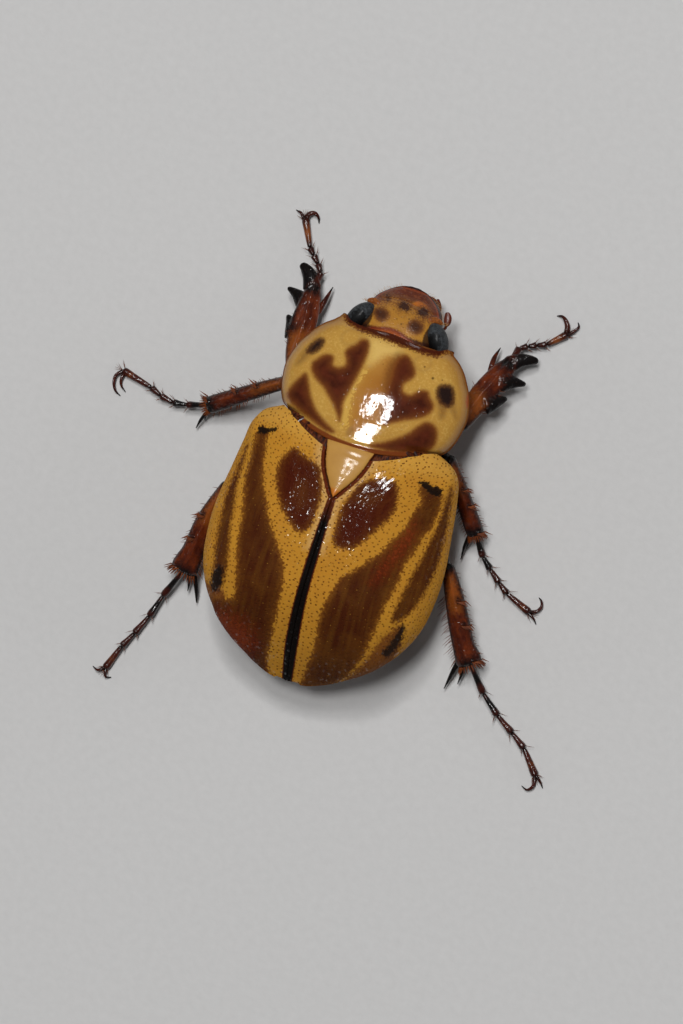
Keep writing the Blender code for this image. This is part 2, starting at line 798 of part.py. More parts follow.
# Legs, from the feet inwards, each length cut clear of the next one out.
for leg, sizes in LEGS.items():
    foot_rows = tarsus_rows(sizes["tibia"], sizes["tarsus"])
    foot = loft(f"{leg}_tarsus", limb_rings(foot_rows, 0, TARSUS_SIDES, True), beetle)
    rest_on_floor(foot.data)
    claws = []
    for rows in sizes["claws"]:
        claw_rows = [(centre, radius, radius) for centre, radius in rows]
        claws.append(loft("claw", limb_rings(claw_rows, 0, 6, True), cutters))
    combine(foot, claws, "UNION")
    made[foot.name] = foot

    shin = loft(f"{leg}_tibia", limb_rings(sizes["tibia"], 0, LIMB_SIDES, False), beetle)
    spines = [cone("spine", base, tip, radius, cutters) for base, tip, radius in sizes["cones"]]
    combine(shin, spines, "UNION")
    foot_sleeve = loft("sleeve", limb_rings(foot_rows[:3], GAP, TARSUS_SIDES, True), cutters)
    combine(shin, [cutter(foot_sleeve)], "DIFFERENCE")
    made[shin.name] = shin

    thigh = loft(f"{leg}_femur", limb_rings(sizes["femur"], 0, LIMB_SIDES, True), beetle)
    shin_sleeve = loft("sleeve", limb_rings(sizes["tibia"][:3], GAP, LIMB_SIDES, True), cutters)
    combine(thigh, [cutter(shin_sleeve)], "DIFFERENCE")
    made[thigh.name] = thigh


def thigh_sleeves(*legs):
    return [
        cutter(loft("sleeve", limb_rings(LEGS[leg]["femur"], GAP, LIMB_SIDES, True), cutters))
        for leg in legs
    ]


def coxae(centre, radii):
    """A pair of leg roots, one on each side of the middle line."""
    x, y, z = centre
    return [ellipsoid("coxa", (side * x, y, z), radii, cutters, 12, 8) for side in (-1, 1)]


# Body under the elytra, with grooves where the legs fold against it.
front, rear = METATHORAX_FRONT, METATHORAX_REAR
places = [front + (rear - front) * k / 8 for k in range(9)]
made["metathorax"] = trunk("metathorax", places, [0.0] * len(places), beetle)
combine(made["metathorax"], coxae(*MID_COXA) + coxae(*HIND_COXA), "UNION")
sleeves = thigh_sleeves("mid_left", "mid_right", "hind_left", "hind_right")
combine(made["metathorax"], sleeves, "DIFFERENCE")

places, drops = [], []
length = (ABDOMEN_REAR - (METATHORAX_REAR - GAP)) / STERNITES
for k in range(STERNITES):
    start = METATHORAX_REAR - GAP + length * k
    places += [start, start + 0.8 * length, start + 0.98 * length]
    drops += [0.0, STERNITE_STEP, STERNITE_STEP]
made["abdomen"] = trunk("abdomen", places, drops, beetle)
combine(made["abdomen"], thigh_sleeves("hind_left", "hind_right"), "DIFFERENCE")

made["prosternum"] = prosternum(beetle)
combine(made["prosternum"], coxae(*FORE_COXA), "UNION")
sleeves = thigh_sleeves("fore_left", "fore_right", "mid_left", "mid_right")
combine(made["prosternum"], sleeves, "DIFFERENCE")
made["pygidium"] = pygidium(beetle)

# Back: shield, scutellum and the two wing cases.
made["pronotum"] = pronotum(beetle)
made["scutellum"] = scutellum(beetle)
made["elytron_left"] = elytron("elytron_left", -1, beetle)
made["elytron_right"] = elytron("elytron_right", 1, beetle)

# Head with its eyes in sockets, its feelers and its mouthparts.
made["head"] = loft("head", oval_rings(HEAD, HEAD_POWER, HEAD_SIDES), beetle)
sockets = []
for side_name, side in (("left", -1), ("right", 1)):
    centre = (side * EYE_CENTRE[0], EYE_CENTRE[1], EYE_CENTRE[2])
    made[f"eye_{side_name}"] = ellipsoid(f"eye_{side_name}", centre, EYE_RADII, beetle)
    wider = tuple(radius + GAP for radius in EYE_RADII)
    sockets.append(cutter(ellipsoid("socket", centre, wider, cutters)))
combine(made["head"], sockets, "DIFFERENCE")


def feeler(side_name, side, turn):
    """A short stalk with its club of leaves, turned back under the cheek on the tucked side."""
    hinge = Vector(ANTENNA_STALK[0][0])
    rows_of = []
    for rows in (ANTENNA_STALK, ANTENNA_CLUB):
        placed = []
        for centre, radius in rows:
            point = Vector(centre) - hinge
            point.rotate(Matrix.Rotation(turn, 3, "Z"))
            point += hinge
            placed.append(((side * point.x, point.y, point.z), radius, radius))
        rows_of.append(placed)
    stalk = loft(f"antenna_{side_name}", limb_rings(rows_of[0], 0, 8, True), beetle)
    club = loft("club", limb_rings(rows_of[1], 0, 8, True), cutters)
    combine(stalk, [club], "UNION")
    return stalk


made["antenna_right"] = feeler("right", 1, 0.0)
made["antenna_left"] = feeler("left", -1, -TUCKED_TURN)

made["mouthparts"] = loft("mouthparts", oval_rings(MOUTH, HEAD_POWER, 12), beetle)
palps = []
for side in (-1, 1):
    rows = [((side * x, y, z), radius, radius) for (x, y, z), radius in PALP]
    palps.append(loft("palp", limb_rings(rows, 0, 6, True), cutters))
combine(made["mouthparts"], palps, "UNION")

# Each sub-part gets its own material, in the finish of its kind.
for name, obj in made.items():
    if name.startswith("eye"):
        colour, roughness = EYE_GREY, 0.2
    elif name.startswith(("elytron", "pronotum", "scutellum")):
        colour, roughness = YELLOW, 0.3
    elif name.endswith(("tarsus", "tibia")):
        colour, roughness = DARK_BROWN, 0.3
    else:
        colour, roughness = BROWN, 0.35
    obj.data.materials.clear()
    obj.data.materials.append(material(f"{name}_chitin", colour, roughness))
    obj.data.shade_smooth()
    obj.data.set_sharp_from_angle(angle=math.radians(40))
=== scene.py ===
import math
import random

import bmesh
import bpy
import numpy as np
from mathutils import Matrix, Vector


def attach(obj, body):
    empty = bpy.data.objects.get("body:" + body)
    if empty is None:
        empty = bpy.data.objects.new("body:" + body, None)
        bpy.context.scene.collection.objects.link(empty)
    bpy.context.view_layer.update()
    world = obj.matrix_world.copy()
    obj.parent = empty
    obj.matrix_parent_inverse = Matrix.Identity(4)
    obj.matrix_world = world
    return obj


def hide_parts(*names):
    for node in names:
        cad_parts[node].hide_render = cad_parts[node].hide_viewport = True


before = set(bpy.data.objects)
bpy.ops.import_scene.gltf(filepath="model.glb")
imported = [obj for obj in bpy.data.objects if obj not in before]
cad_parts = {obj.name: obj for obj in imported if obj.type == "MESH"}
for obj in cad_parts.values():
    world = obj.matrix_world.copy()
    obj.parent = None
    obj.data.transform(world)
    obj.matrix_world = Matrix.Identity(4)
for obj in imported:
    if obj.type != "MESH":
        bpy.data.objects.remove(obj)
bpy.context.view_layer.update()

# View
# The beetle is looked down on through a long lens. The camera leans nine degrees to the animal's
# right, and the body lies turned on the page. Lengths are body millimetres: +Y to the head,
# +X to the animal's right, +Z up from the floor.
MM = 0.001
CENTRE_SHIFT = 1.0
LOOK_AT = np.array((0.13, -2.13, 4.2))
DISTANCE = 240.0
LEAN = math.radians(9)
PAGE_TURN = math.radians(18)
LENS = 168.75
SENSOR = 36.0

sight = np.array((math.sin(LEAN), 0.0, math.cos(LEAN)))
plan_across = np.array((math.cos(LEAN), 0.0, -math.sin(LEAN)))
plan_along = np.array((0.0, 1.0, 0.0))


def to_row(point):
    """A body point in millimetres as a point of the model's frame in metres."""
    return Vector((point[0], point[1] + CENTRE_SHIFT, point[2])) * MM


camera = bpy.data.objects.new("camera", bpy.data.cameras.new("camera"))
bpy.context.scene.collection.objects.link(camera)
camera.data.lens = LENS
camera.data.sensor_width = SENSOR
page_right = math.sin(PAGE_TURN) * plan_along + math.cos(PAGE_TURN) * plan_across
page_up = math.cos(PAGE_TURN) * plan_along - math.sin(PAGE_TURN) * plan_across
turn = Matrix((page_right, page_up, sight)).transposed().to_4x4()
camera.matrix_world = Matrix.Translation(to_row(LOOK_AT + DISTANCE * sight)) @ turn
bpy.context.scene.camera = camera
bpy.context.scene.view_settings.view_transform = "Standard"


# Studio
# A sheet of pale matt card on a table in a dim room. A ring of small lamps stands just ahead of
# the lens with one more beside it. Two wide soft lamps fill in from the sides, and they are kept
# out of the shell's reflections.
CARD = "#C4C3C2"
CARD_GRAIN = 0.4
CARD_SIZE = 6.0
ROOM = "#D8DADD"
ROOM_STRENGTH = 0.1
LAMP_DISTANCE = 0.62


def linear(code, alpha=1.0):
    """An sRGB hex colour as linear values for a shader."""
    values = []
    for start in (1, 3, 5):
        share = int(code[start : start + 2], 16) / 255
        values.append(share / 12.92 if share <= 0.04045 else ((share + 0.055) / 1.055) ** 2.4)
    return (*values, alpha)


def add(tree, kind, inputs=(), out=0, **settings):
    """Adds a node, gives it its settings, sets or links its inputs, and returns its output."""
    made = tree.nodes.new("ShaderNode" + kind)
    for name, value in settings.items():
        setattr(made, name, value)
    for name, value in dict(inputs).items():
        if isinstance(value, bpy.types.NodeSocket):
            tree.links.new(value, made.inputs[name])
        else:
            made.inputs[name].default_value = value
    return made.outputs[out]


def finish(name, **sockets):
    """A new material, its node tree and its shader, with these values on the shader's sockets."""
    made = bpy.data.materials.new(name)
    made.use_nodes = True
    tree = made.node_tree
    shader = tree.nodes["Principled BSDF"]
    for socket, value in sockets.items():
        shader.inputs[socket.replace("_", " ")].default_value = value
    return made, tree, shader


def in_millimetres(tree):
    """The place on the piece, in millimetres, for a pattern to be laid by."""
    place = add(tree, "TexCoord", out="Object")
    return add(tree, "VectorMath", {0: place, "Scale": 1 / MM}, operation="SCALE")


def dress(tree, shader, colour, height, depth, strength, sockets=("Normal",)):
    """Gives a finish its colour, and raises it by a pattern this many millimetres deep."""
    tree.links.new(colour, shader.inputs["Base Color"])
    lift = add(tree, "Bump", {"Height": height, "Distance": depth * MM, "Strength": strength})
    for socket in sockets:
        tree.links.new(lift, shader.inputs[socket])


# Card: pressed paper pulp, quite matt, with a faint felt grain.
card_finish, tree, shader = finish("pressed_card", Roughness=0.85, IOR=1.5)
grain = add(tree, "TexNoise", {"Vector": in_millimetres(tree), "Scale": 1 / CARD_GRAIN, "Detail": 4.0})
tint = add(tree, "MapRange", {"Value": grain, "To Min": 0.94, "To Max": 1.05})
shade = add(tree, "VectorMath", {0: linear(CARD)[:3], "Scale": tint}, operation="SCALE")
dress(tree, shader, shade, grain, 0.02, 0.5)

bpy.ops.mesh.primitive_plane_add(size=CARD_SIZE)
card = bpy.context.object
card.name = "card"
card.data.materials.append(card_finish)

room = bpy.data.worlds.new("room")
room.use_nodes = True
room.node_tree.nodes["Background"].inputs["Color"].default_value = linear(ROOM)
room.node_tree.nodes["Background"].inputs["Strength"].default_value = ROOM_STRENGTH
bpy.context.scene.world = room

# Each lamp: the way to it from the beetle, its width in metres and its power in watts.
LAMPS = {
    "lamp_by_lens": ((-0.055, 0.11, 0.99), 0.13, 1.7),
    "lamp_from_left": ((-0.95, -0.2, 0.28), 0.35, 0.33),
    "lamp_from_right": ((0.9, 0.4, 0.28), 0.35, 0.5),
}
RING_WAY = (-0.06, 0.365, 0.93)
RING_SPREAD = 0.07
RING_RISE = 0.12
for k in range(7):
    turned = math.radians(-50 + 40 * k)
    way = np.array(RING_WAY) + RING_SPREAD * math.cos(turned) * page_right
    way += RING_RISE * math.sin(turned) * page_up
    LAMPS[f"ring_lamp_{k + 1}"] = (way, 0.042, 0.22)
for name, (way, width, watts) in LAMPS.items():
    lamp = bpy.data.objects.new(name, bpy.data.lights.new(name, "AREA"))
    lamp.data.shape = "DISK"
    lamp.data.size = width
    lamp.data.energy = watts
    lamp.visible_glossy = name not in ("lamp_from_left", "lamp_from_right")
    towards = Vector(way).normalized()
    lamp.location = to_row(LOOK_AT) + towards * LAMP_DISTANCE
    lamp.rotation_mode = "QUATERNION"
    lamp.rotation_quaternion = towards.to_track_quat("Z", "Y")
    bpy.context.scene.collection.objects.link(lamp)


# Wing cases
# The two hardened fore wings lie shut over the back and meet in a straight seam. They are thin
# domed shells of tanned cuticle, yellow with dark stripes that ripened in it as it set.
ELYTRA = (
    (2.0, 4.2, 6.7, 5.0),
    (1.6, 4.95, 6.9, 4.85),
    (1.0, 5.35, 7.12, 4.7),
    (0.0, 5.6, 7.36, 4.5),
    (-1.5, 5.81, 7.56, 4.3),
    (-3.5, 6.05, 7.66, 4.2),
    (-5.0, 6.03, 7.56, 4.1),
    (-6.5, 5.8, 7.3, 4.0),
    (-7.75, 5.25, 6.65, 3.9),
    (-8.85, 4.43, 5.8, 3.75),
    (-9.75, 3.4, 4.9, 3.55),
    (-10.5, 2.15, 4.0, 3.35),
    (-10.9, 1.15, 3.5, 3.2),
    (-11.0, 0.7, 3.35, 3.15),
)
BASE_INNER = 0.94
BASE_SWEEP = 0.81
BASE_SHOULDER = 3.7
BASE_OUTER = 1.95
BASE_NOTCH = 0.34
BASE_NOTCH_SPAN = 1.8
TIP = -11.0
ARCH = 2.3
EDGE_TURN = math.radians(112)
SEAM = 0.012
WING_CASE_THICK = 0.22
WING_CASE_ROWS = 170
WING_CASE_COLUMNS = 120
SCUTELLUM = ((1.1, 1.28), (0.66, 1.16), (0.1, 1.01), (-0.4, 0.8), (-0.94, 0.48), (-1.3, 0.25), (-1.6, 0.05))

# Ribs: how far each runs from the seam, in millimetres round the dome, and its height. They
# fade out by the rim and before the tip.
RIBS = ((0.75, 0.02), (2.15, 0.03), (3.3, 0.02), (4.7, 0.03), (5.9, 0.02))
RIB_WIDTH = 0.35
RIB_START = 0.3
RIB_END = -10.6
RIB_END_FADE = 1.5
DOME_SWELL = 0.16
DOME_SWELL_SPAN = 5.2

# Raised edges and the grooves beside them: distance from the edge, width and height. Humps at
# the shoulder and near the tip: round the dome, along the body, width and height.
SEAM_BEADS = ((0.05, 0.09, 0.035), (0.36, 0.09, -0.03))
RIM_BEADS = ((0.06, 0.09, 0.05), (0.28, 0.1, -0.03))
HUMPS = ((5.0, 0.35, 0.75, 0.16), (3.4, -8.3, 0.9, 0.1))
SCUTELLUM_GAP = 0.02
ROOT_PLACE = 1.5
TURNED_UNDER = 0.25
THIN_RIM = 0.15
THIN_SEAM = 0.1
GRAZING = 0.1

# Marks, as outlines on the tracing plane square to the sight line: millimetres across, along.
TRACE_SHIFT = 0.115
WING_MARKS_LEFT = {
    "disc": (
        (-3.0, 0.15), (-2.5, 0.0), (-1.9, -0.15), (-1.5, -0.4), (-1.2, -1.0), (-1.0, -1.75),
        (-0.95, -2.5), (-1.0, -3.25), (-1.25, -3.65), (-1.6, -3.7), (-2.1, -3.4), (-2.6, -2.9),
        (-3.0, -2.35), (-3.3, -1.75), (-3.45, -1.1), (-3.4, -0.5),
    ),
    "band": (
        (-4.9, 0.72), (-4.5, 0.65), (-4.42, 0.0), (-4.3, -0.6), (-4.15, -1.25), (-3.9, -2.0),
        (-3.5, -2.75), (-3.15, -3.5), (-2.75, -4.1), (-2.25, -4.75), (-1.9, -5.25), (-1.6, -5.9),
        (-1.42, -6.75), (-1.35, -7.5), (-1.25, -8.5), (-1.1, -10.0), (-1.0, -11.1), (-3.4, -11.2),
        (-4.6, -9.6), (-4.5, -8.3), (-3.6, -7.9), (-3.8, -6.75), (-4.0, -6.0), (-4.25, -5.0),
        (-4.4, -4.0), (-4.6, -3.0), (-4.85, -2.0), (-4.9, -1.0), (-5.0, 0.2),
    ),
    "side_band": (
        (-5.3, -0.25), (-5.15, -1.0), (-5.13, -2.25), (-4.95, -3.5), (-4.8, -4.5), (-4.62, -5.25),
        (-4.42, -6.0), (-4.3, -6.75), (-4.3, -7.5), (-4.5, -8.0), (-4.85, -7.5), (-5.0, -6.75),
        (-5.25, -5.75), (-5.4, -4.75), (-5.5, -3.75), (-5.55, -2.75), (-5.45, -1.75),
    ),
    "ink": ((-4.75, -6.5), (-4.5, -6.7), (-4.35, -7.2), (-4.45, -7.85), (-4.75, -7.8), (-4.95, -7.2)),
    "tail": (
        (-4.2, -7.7), (-3.7, -8.3), (-2.9, -8.9), (-1.6, -9.2), (-1.1, -10.2), (-0.8, -11.3),
        (-3.5, -11.3), (-5.4, -8.6), (-5.6, -7.6), (-4.9, -7.55),
    ),
    "hook": ((-5.0, 0.62), (-4.6, 0.72), (-4.12, 0.85), (-4.2, 0.68), (-4.5, 0.5), (-4.9, 0.35)),
    "blush": ((-4.3, -8.6), (-2.6, -8.8), (-1.7, -9.6), (-2.0, -10.6), (-3.0, -10.6), (-4.2, -9.5)),
    "gleam": ((-1.6, -2.6), (-1.25, -2.5), (-1.2, -2.9), (-1.5, -3.0)),
    # Painted sheen: the lighter patch on the dark disc.
    "painted_sheen": ((-1.9, -1.0), (-1.5, -1.6), (-1.5, -2.4), (-1.85, -2.8), (-2.3, -2.2), (-2.35, -1.5)),
}
WING_MARKS_RIGHT = {
    "disc": (
        (1.5, 0.0), (2.3, 0.12), (2.6, -0.25), (2.75, -0.9), (2.65, -1.5), (2.4, -2.1), (2.0, -2.75),
        (1.6, -3.4), (1.1, -3.8), (0.6, -3.85), (0.3, -3.6), (0.2, -3.0), (0.2, -2.25), (0.25, -1.6),
        (0.5, -1.0), (0.8, -0.4),
    ),
    "band": (
        (3.6, 0.45), (4.1, 0.42), (4.6, 0.4), (4.8, 0.0), (4.85, -0.5), (4.75, -1.5), (4.5, -2.0),
        (4.35, -2.75), (4.1, -3.5), (4.0, -4.5), (3.9, -5.25), (3.75, -6.0), (3.65, -7.0), (3.55, -7.75),
        (3.5, -8.5), (3.3, -9.25), (3.0, -9.85), (2.3, -10.6), (1.0, -11.1), (1.0, -10.75), (1.05, -9.0),
        (0.9, -8.0), (0.85, -7.0), (1.0, -6.25), (1.1, -5.75), (1.25, -5.25), (1.75, -4.75), (2.25, -4.1),
        (2.75, -3.5), (3.1, -2.75), (3.5, -2.0), (3.7, -1.0), (3.9, -0.45), (3.65, 0.1),
    ),
    "side_band": (
        (5.05, 0.7), (5.0, -1.0), (4.9, -2.0), (4.75, -3.0), (4.62, -3.75), (4.4, -5.0), (4.25, -6.0),
        (4.3, -6.6), (4.75, -6.4), (5.15, -5.75), (5.4, -5.0), (5.6, -4.0), (5.68, -3.0), (5.63, -2.25),
        (5.55, -1.25), (5.4, -0.25), (5.25, 0.5),
    ),
    "ink": (
        (4.95, -6.5), (4.75, -6.9), (4.6, -7.5), (4.35, -8.2), (4.6, -8.35), (4.95, -7.9), (5.1, -7.0),
    ),
    "tail": (
        (4.1, -7.5), (4.5, -7.0), (4.85, -6.55), (5.1, -7.3), (5.1, -8.0), (4.85, -8.9), (4.25, -9.7),
        (3.3, -10.4), (2.4, -10.9), (3.0, -10.0), (3.5, -9.25), (3.85, -8.4),
    ),
    "hook": ((3.5, 0.5), (3.8, 0.62), (4.2, 0.5), (4.7, 0.5), (4.6, 0.1), (4.1, 0.15), (3.75, 0.3)),
    "blush": ((3.5, -1.6), (4.1, -1.9), (3.9, -3.2), (3.2, -4.6), (2.7, -5.0), (3.0, -3.8)),
    "gleam": (
        (0.25, -1.25), (0.5, -1.3), (1.0, -0.9), (1.6, -0.55), (2.5, -0.7), (2.65, 0.05), (2.2, 0.3),
        (1.5, 0.3), (1.0, 0.15), (0.6, -0.5),
    ),
    # Painted sheen: the lighter patch on the dark disc.
    "painted_sheen": ((0.6, -1.3), (1.0, -0.8), (1.6, -0.55), (2.1, -0.7), (1.9, -1.2), (1.2, -1.6)),
}

# Other marks: where the black by the scutellum and the cream by the seam end, along the body,
# the breadths of the cream and the rim, the pale root, and the seam's stripe with its half width.
BLACK_END = -1.9
CREAM_END = -4.4
CREAM_BREADTH = 0.5
RIM_BREADTH = 0.1
ROOT_EDGE = 0.9
SEAM_STRIPE = (
    (-11.1, 0.24), (-10.0, 0.29), (-9.0, 0.31), (-7.5, 0.29), (-5.0, 0.25), (-2.5, 0.2), (-1.6, 0.17),
    (-1.2, 0.17), (1.2, 0.17),
)


def follow(rows, places):
    """The values at each place on the smooth curve through rows of place, value and so on."""
    rows = np.array(rows, float)
    rows = rows[np.argsort(rows[:, 0])]
    at, values = rows[:, 0], rows[:, 1:]
    places = np.clip(places, at[0], at[-1])
    i = np.clip(np.searchsorted(at, places, side="right") - 1, 0, len(at) - 2)
    span = at[i + 1] - at[i]
    t = ((places - at[i]) / span)[..., None]
    before, after = np.maximum(i - 1, 0), np.minimum(i + 2, len(at) - 1)
    leave = (values[i + 1] - values[before]) * (span / (at[i + 1] - at[before]))[..., None]
    arrive = (values[after] - values[i]) * (span / (at[after] - at[i]))[..., None]
    found = values[i] * (1 + 2 * t) * (1 - t) ** 2 + values[i + 1] * t * t * (3 - 2 * t)
    return found + leave * t * (1 - t) ** 2 - arrive * t * t * (1 - t)


def arch(angle, power):
    """Across and up on a rounded-square arch of this power; angle 0 is the top."""
    sine, cosine = np.sin(angle), np.cos(angle)
    across = np.sign(sine) * np.abs(sine) ** (2 / power)
    up = np.sign(cosine) * np.abs(cosine) ** (2 / power)
    return across, up


def plan(points):
    """Where points fall on the tracing plane through the middle of the body, square to the sight."""
    offset = points - LOOK_AT
    depth = DISTANCE - offset @ sight
    across = LOOK_AT[0] + TRACE_SHIFT + DISTANCE * (offset @ plan_across) / depth
    along = LOOK_AT[1] + DISTANCE * (offset @ plan_along) / depth
    return np.stack((across, along), axis=-1)


def inside_by(places, outline, steps=5):
    """How far each place lies inside a smooth closed outline, in millimetres; less than 0 outside."""
    corners = np.array(outline, float)
    pieces = []
    for k in range(steps):
        t = k / steps
        weights = (
            (-t + 2 * t * t - t**3) / 2,
            (2 - 5 * t * t + 3 * t**3) / 2,
            (t + 4 * t * t - 3 * t**3) / 2,
            (t**3 - t * t) / 2,
        )
        pieces.append(sum(w * np.roll(corners, 1 - n, axis=0) for n, w in enumerate(weights)))
    start = np.stack(pieces, axis=1).reshape(-1, 2)
    end = np.roll(start, -1, axis=0)
    flat = places.reshape(-1, 1, 2)
    run = end - start
    share = np.clip(((flat - start) * run).sum(-1) / (run * run).sum(-1), 0, 1)
    gap = np.linalg.norm(flat - start - share[..., None] * run, axis=-1).min(axis=1)
    above_start, above_end = start[:, 1] > flat[..., 1], end[:, 1] > flat[..., 1]
    rise = np.where(run[:, 1] == 0, 1e-9, run[:, 1])
    cross_at = start[:, 0] + (flat[..., 1] - start[:, 1]) / rise * run[:, 0]
    crossings = ((above_start != above_end) & (flat[..., 0] < cross_at)).sum(axis=1)
    return np.where(crossings % 2 == 1, gap, -gap).reshape(places.shape[:-1])


def even_rows(points, columns):
    """Each row of points spread again at even steps along its own length, and those lengths."""
    steps = np.linalg.norm(np.diff(points, axis=1), axis=2)
    lengths = np.concatenate((np.zeros((len(points), 1)), np.cumsum(steps, axis=1)), axis=1)
    spread = np.empty((len(points), columns, 3))
    reach = np.empty((len(points), columns))
    for k, (row, length) in enumerate(zip(points, lengths)):
        reach[k] = np.linspace(0, length[-1], columns)
        for axis in range(3):
            spread[k, :, axis] = np.interp(reach[k], length, row[:, axis])
    return spread, reach


def facing(grid):
    """The unit normals of a grid of points, on the side where the middle one points up."""
    normals = np.cross(np.gradient(grid, axis=0), np.gradient(grid, axis=1))
    normals /= np.maximum(np.linalg.norm(normals, axis=-1, keepdims=True), 1e-12)
    rows, columns = grid.shape[:2]
    return normals * np.sign(normals[rows // 2, columns // 2, 2])


def ridge(distance, at, width):
    """How high a soft round ridge stands at each distance from its line, from 0 to 1."""
    return np.exp(-(((distance - at) / width) ** 2))


def new_piece(name, points, faces, material):
    """A mesh object from points in body millimetres, with its faces turned outwards."""
    mesh = bpy.data.meshes.new(name)
    mesh.from_pydata(np.asarray(points).reshape(-1, 3).tolist(), [], faces)
    bm = bmesh.new()
    bm.from_mesh(mesh)
    bmesh.ops.recalc_face_normals(bm, faces=bm.faces)
    bm.to_mesh(mesh)
    bm.free()
    obj = bpy.data.objects.new(name, mesh)
    bpy.context.scene.collection.objects.link(obj)
    mesh.materials.append(material)
    return obj


def quads(index):
    """The faces between the neighbours of a grid of point numbers."""
    corners = (index[:-1, :-1], index[:-1, 1:], index[1:, 1:], index[1:, :-1])
    return np.stack(corners, axis=-1).reshape(-1, 4).tolist()


def shell(name, outer, inner, material):
    """A closed thin shell between an outer and an inner grid of points."""
    rows, columns = outer.shape[:2]
    top = np.arange(rows * columns).reshape(rows, columns)
    under = top + rows * columns
    faces = quads(top) + quads(under[:, ::-1])
    for a, b in (
        (top[0], under[0]),
        (under[-1], top[-1]),
        (under[:, 0], top[:, 0]),
        (top[:, -1], under[:, -1]),
    ):
        faces += quads(np.stack((a, b)))
    return new_piece(name, np.concatenate((outer.reshape(-1, 3), inner.reshape(-1, 3))), faces, material)


def paint(obj, name, values, size=1):
    """Keeps a number, or a place of this size, at each point of the mesh for its finish. Both
    faces of a shell take the same ones."""
    values = np.asarray(values, np.float32).reshape(-1, size)
    values = np.tile(values, (len(obj.data.vertices) // len(values), 1))
    kind, field = ("FLOAT", "value") if size == 1 else ("FLOAT_VECTOR", "vector")
    obj.data.attributes.new(name, kind, "POINT").data.foreach_set(field, values.ravel())


def settle(obj, slot, *nodes):
    """Takes a piece from body millimetres to the model's frame and ties it to the model."""
    to_frame = Matrix.Scale(MM, 4) @ Matrix.Translation((0, CENTRE_SHIFT, 0))
    obj.data.transform(to_frame)
    obj.data.shade_smooth()
    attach(obj, "root")
    if nodes:
        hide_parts(*nodes)


def inked(tree, ground, layers, grain):
    """Lays marks over a ground colour. A layer has its name, tone, strength, ragged edge,
    soft edge and spread, all but the first three in millimetres."""
    colour = ground
    for layer, tone, strength, ragged, soft, spread in layers:
        reach = add(tree, "Attribute", out="Fac", attribute_name=layer)
        edge = add(tree, "Math", {0: grain, 1: ragged, 2: reach}, operation="MULTIPLY_ADD")
        span = {"Value": edge, "From Min": -soft - spread, "From Max": soft - spread, "To Max": strength}
        share = add(tree, "MapRange", span, interpolation_type="SMOOTHSTEP")
        tone = linear(tone) if isinstance(tone, str) else tone
        colour = add(tree, "Mix", {0: share, 6: colour, 7: tone}, 2, data_type="RGBA")
    return colour


def fine_grain(tree, place, size, detail=3.0):
    """A fine grain of this size in millimetres, from 0 to 1 and as a shift to either side."""
    fine = add(tree, "TexNoise", {"Vector": place, "Scale": 1 / size, "Detail": detail})
    return fine, add(tree, "Math", {0: fine, 1: 0.5}, operation="SUBTRACT")


def clouded(tree, place, tones, size, detail=3.0):
    """A ground that drifts between two tones in clouds of this size, and the clouds."""
    cloud = add(tree, "TexNoise", {"Vector": place, "Scale": 1 / size, "Detail": detail})
    tones = {6: linear(tones[0]), 7: linear(tones[1])}
    return add(tree, "Mix", {0: cloud, **tones}, 2, data_type="RGBA"), cloud


def patches(tree, place, size, low, high, least=0.0, most=1.0, detail=3.0):
    """Patches of this size, with the levels from low to high spread from least to most."""
    patch = add(tree, "TexNoise", {"Vector": place, "Scale": 1 / size, "Detail": detail})
    span = {"Value": patch, "From Min": low, "From Max": high, "To Min": least, "To Max": most}
    return add(tree, "MapRange", span)


def drawn_out(tree, place, lengths, detail=3.0):
    """Streaks of these lengths in millimetres along the three axes."""
    scaled = add(tree, "VectorMath", {0: place, 1: [1 / length for length in lengths]}, operation="MULTIPLY")
    return add(tree, "TexNoise", {"Vector": scaled, "Scale": 1.0, "Detail": detail})


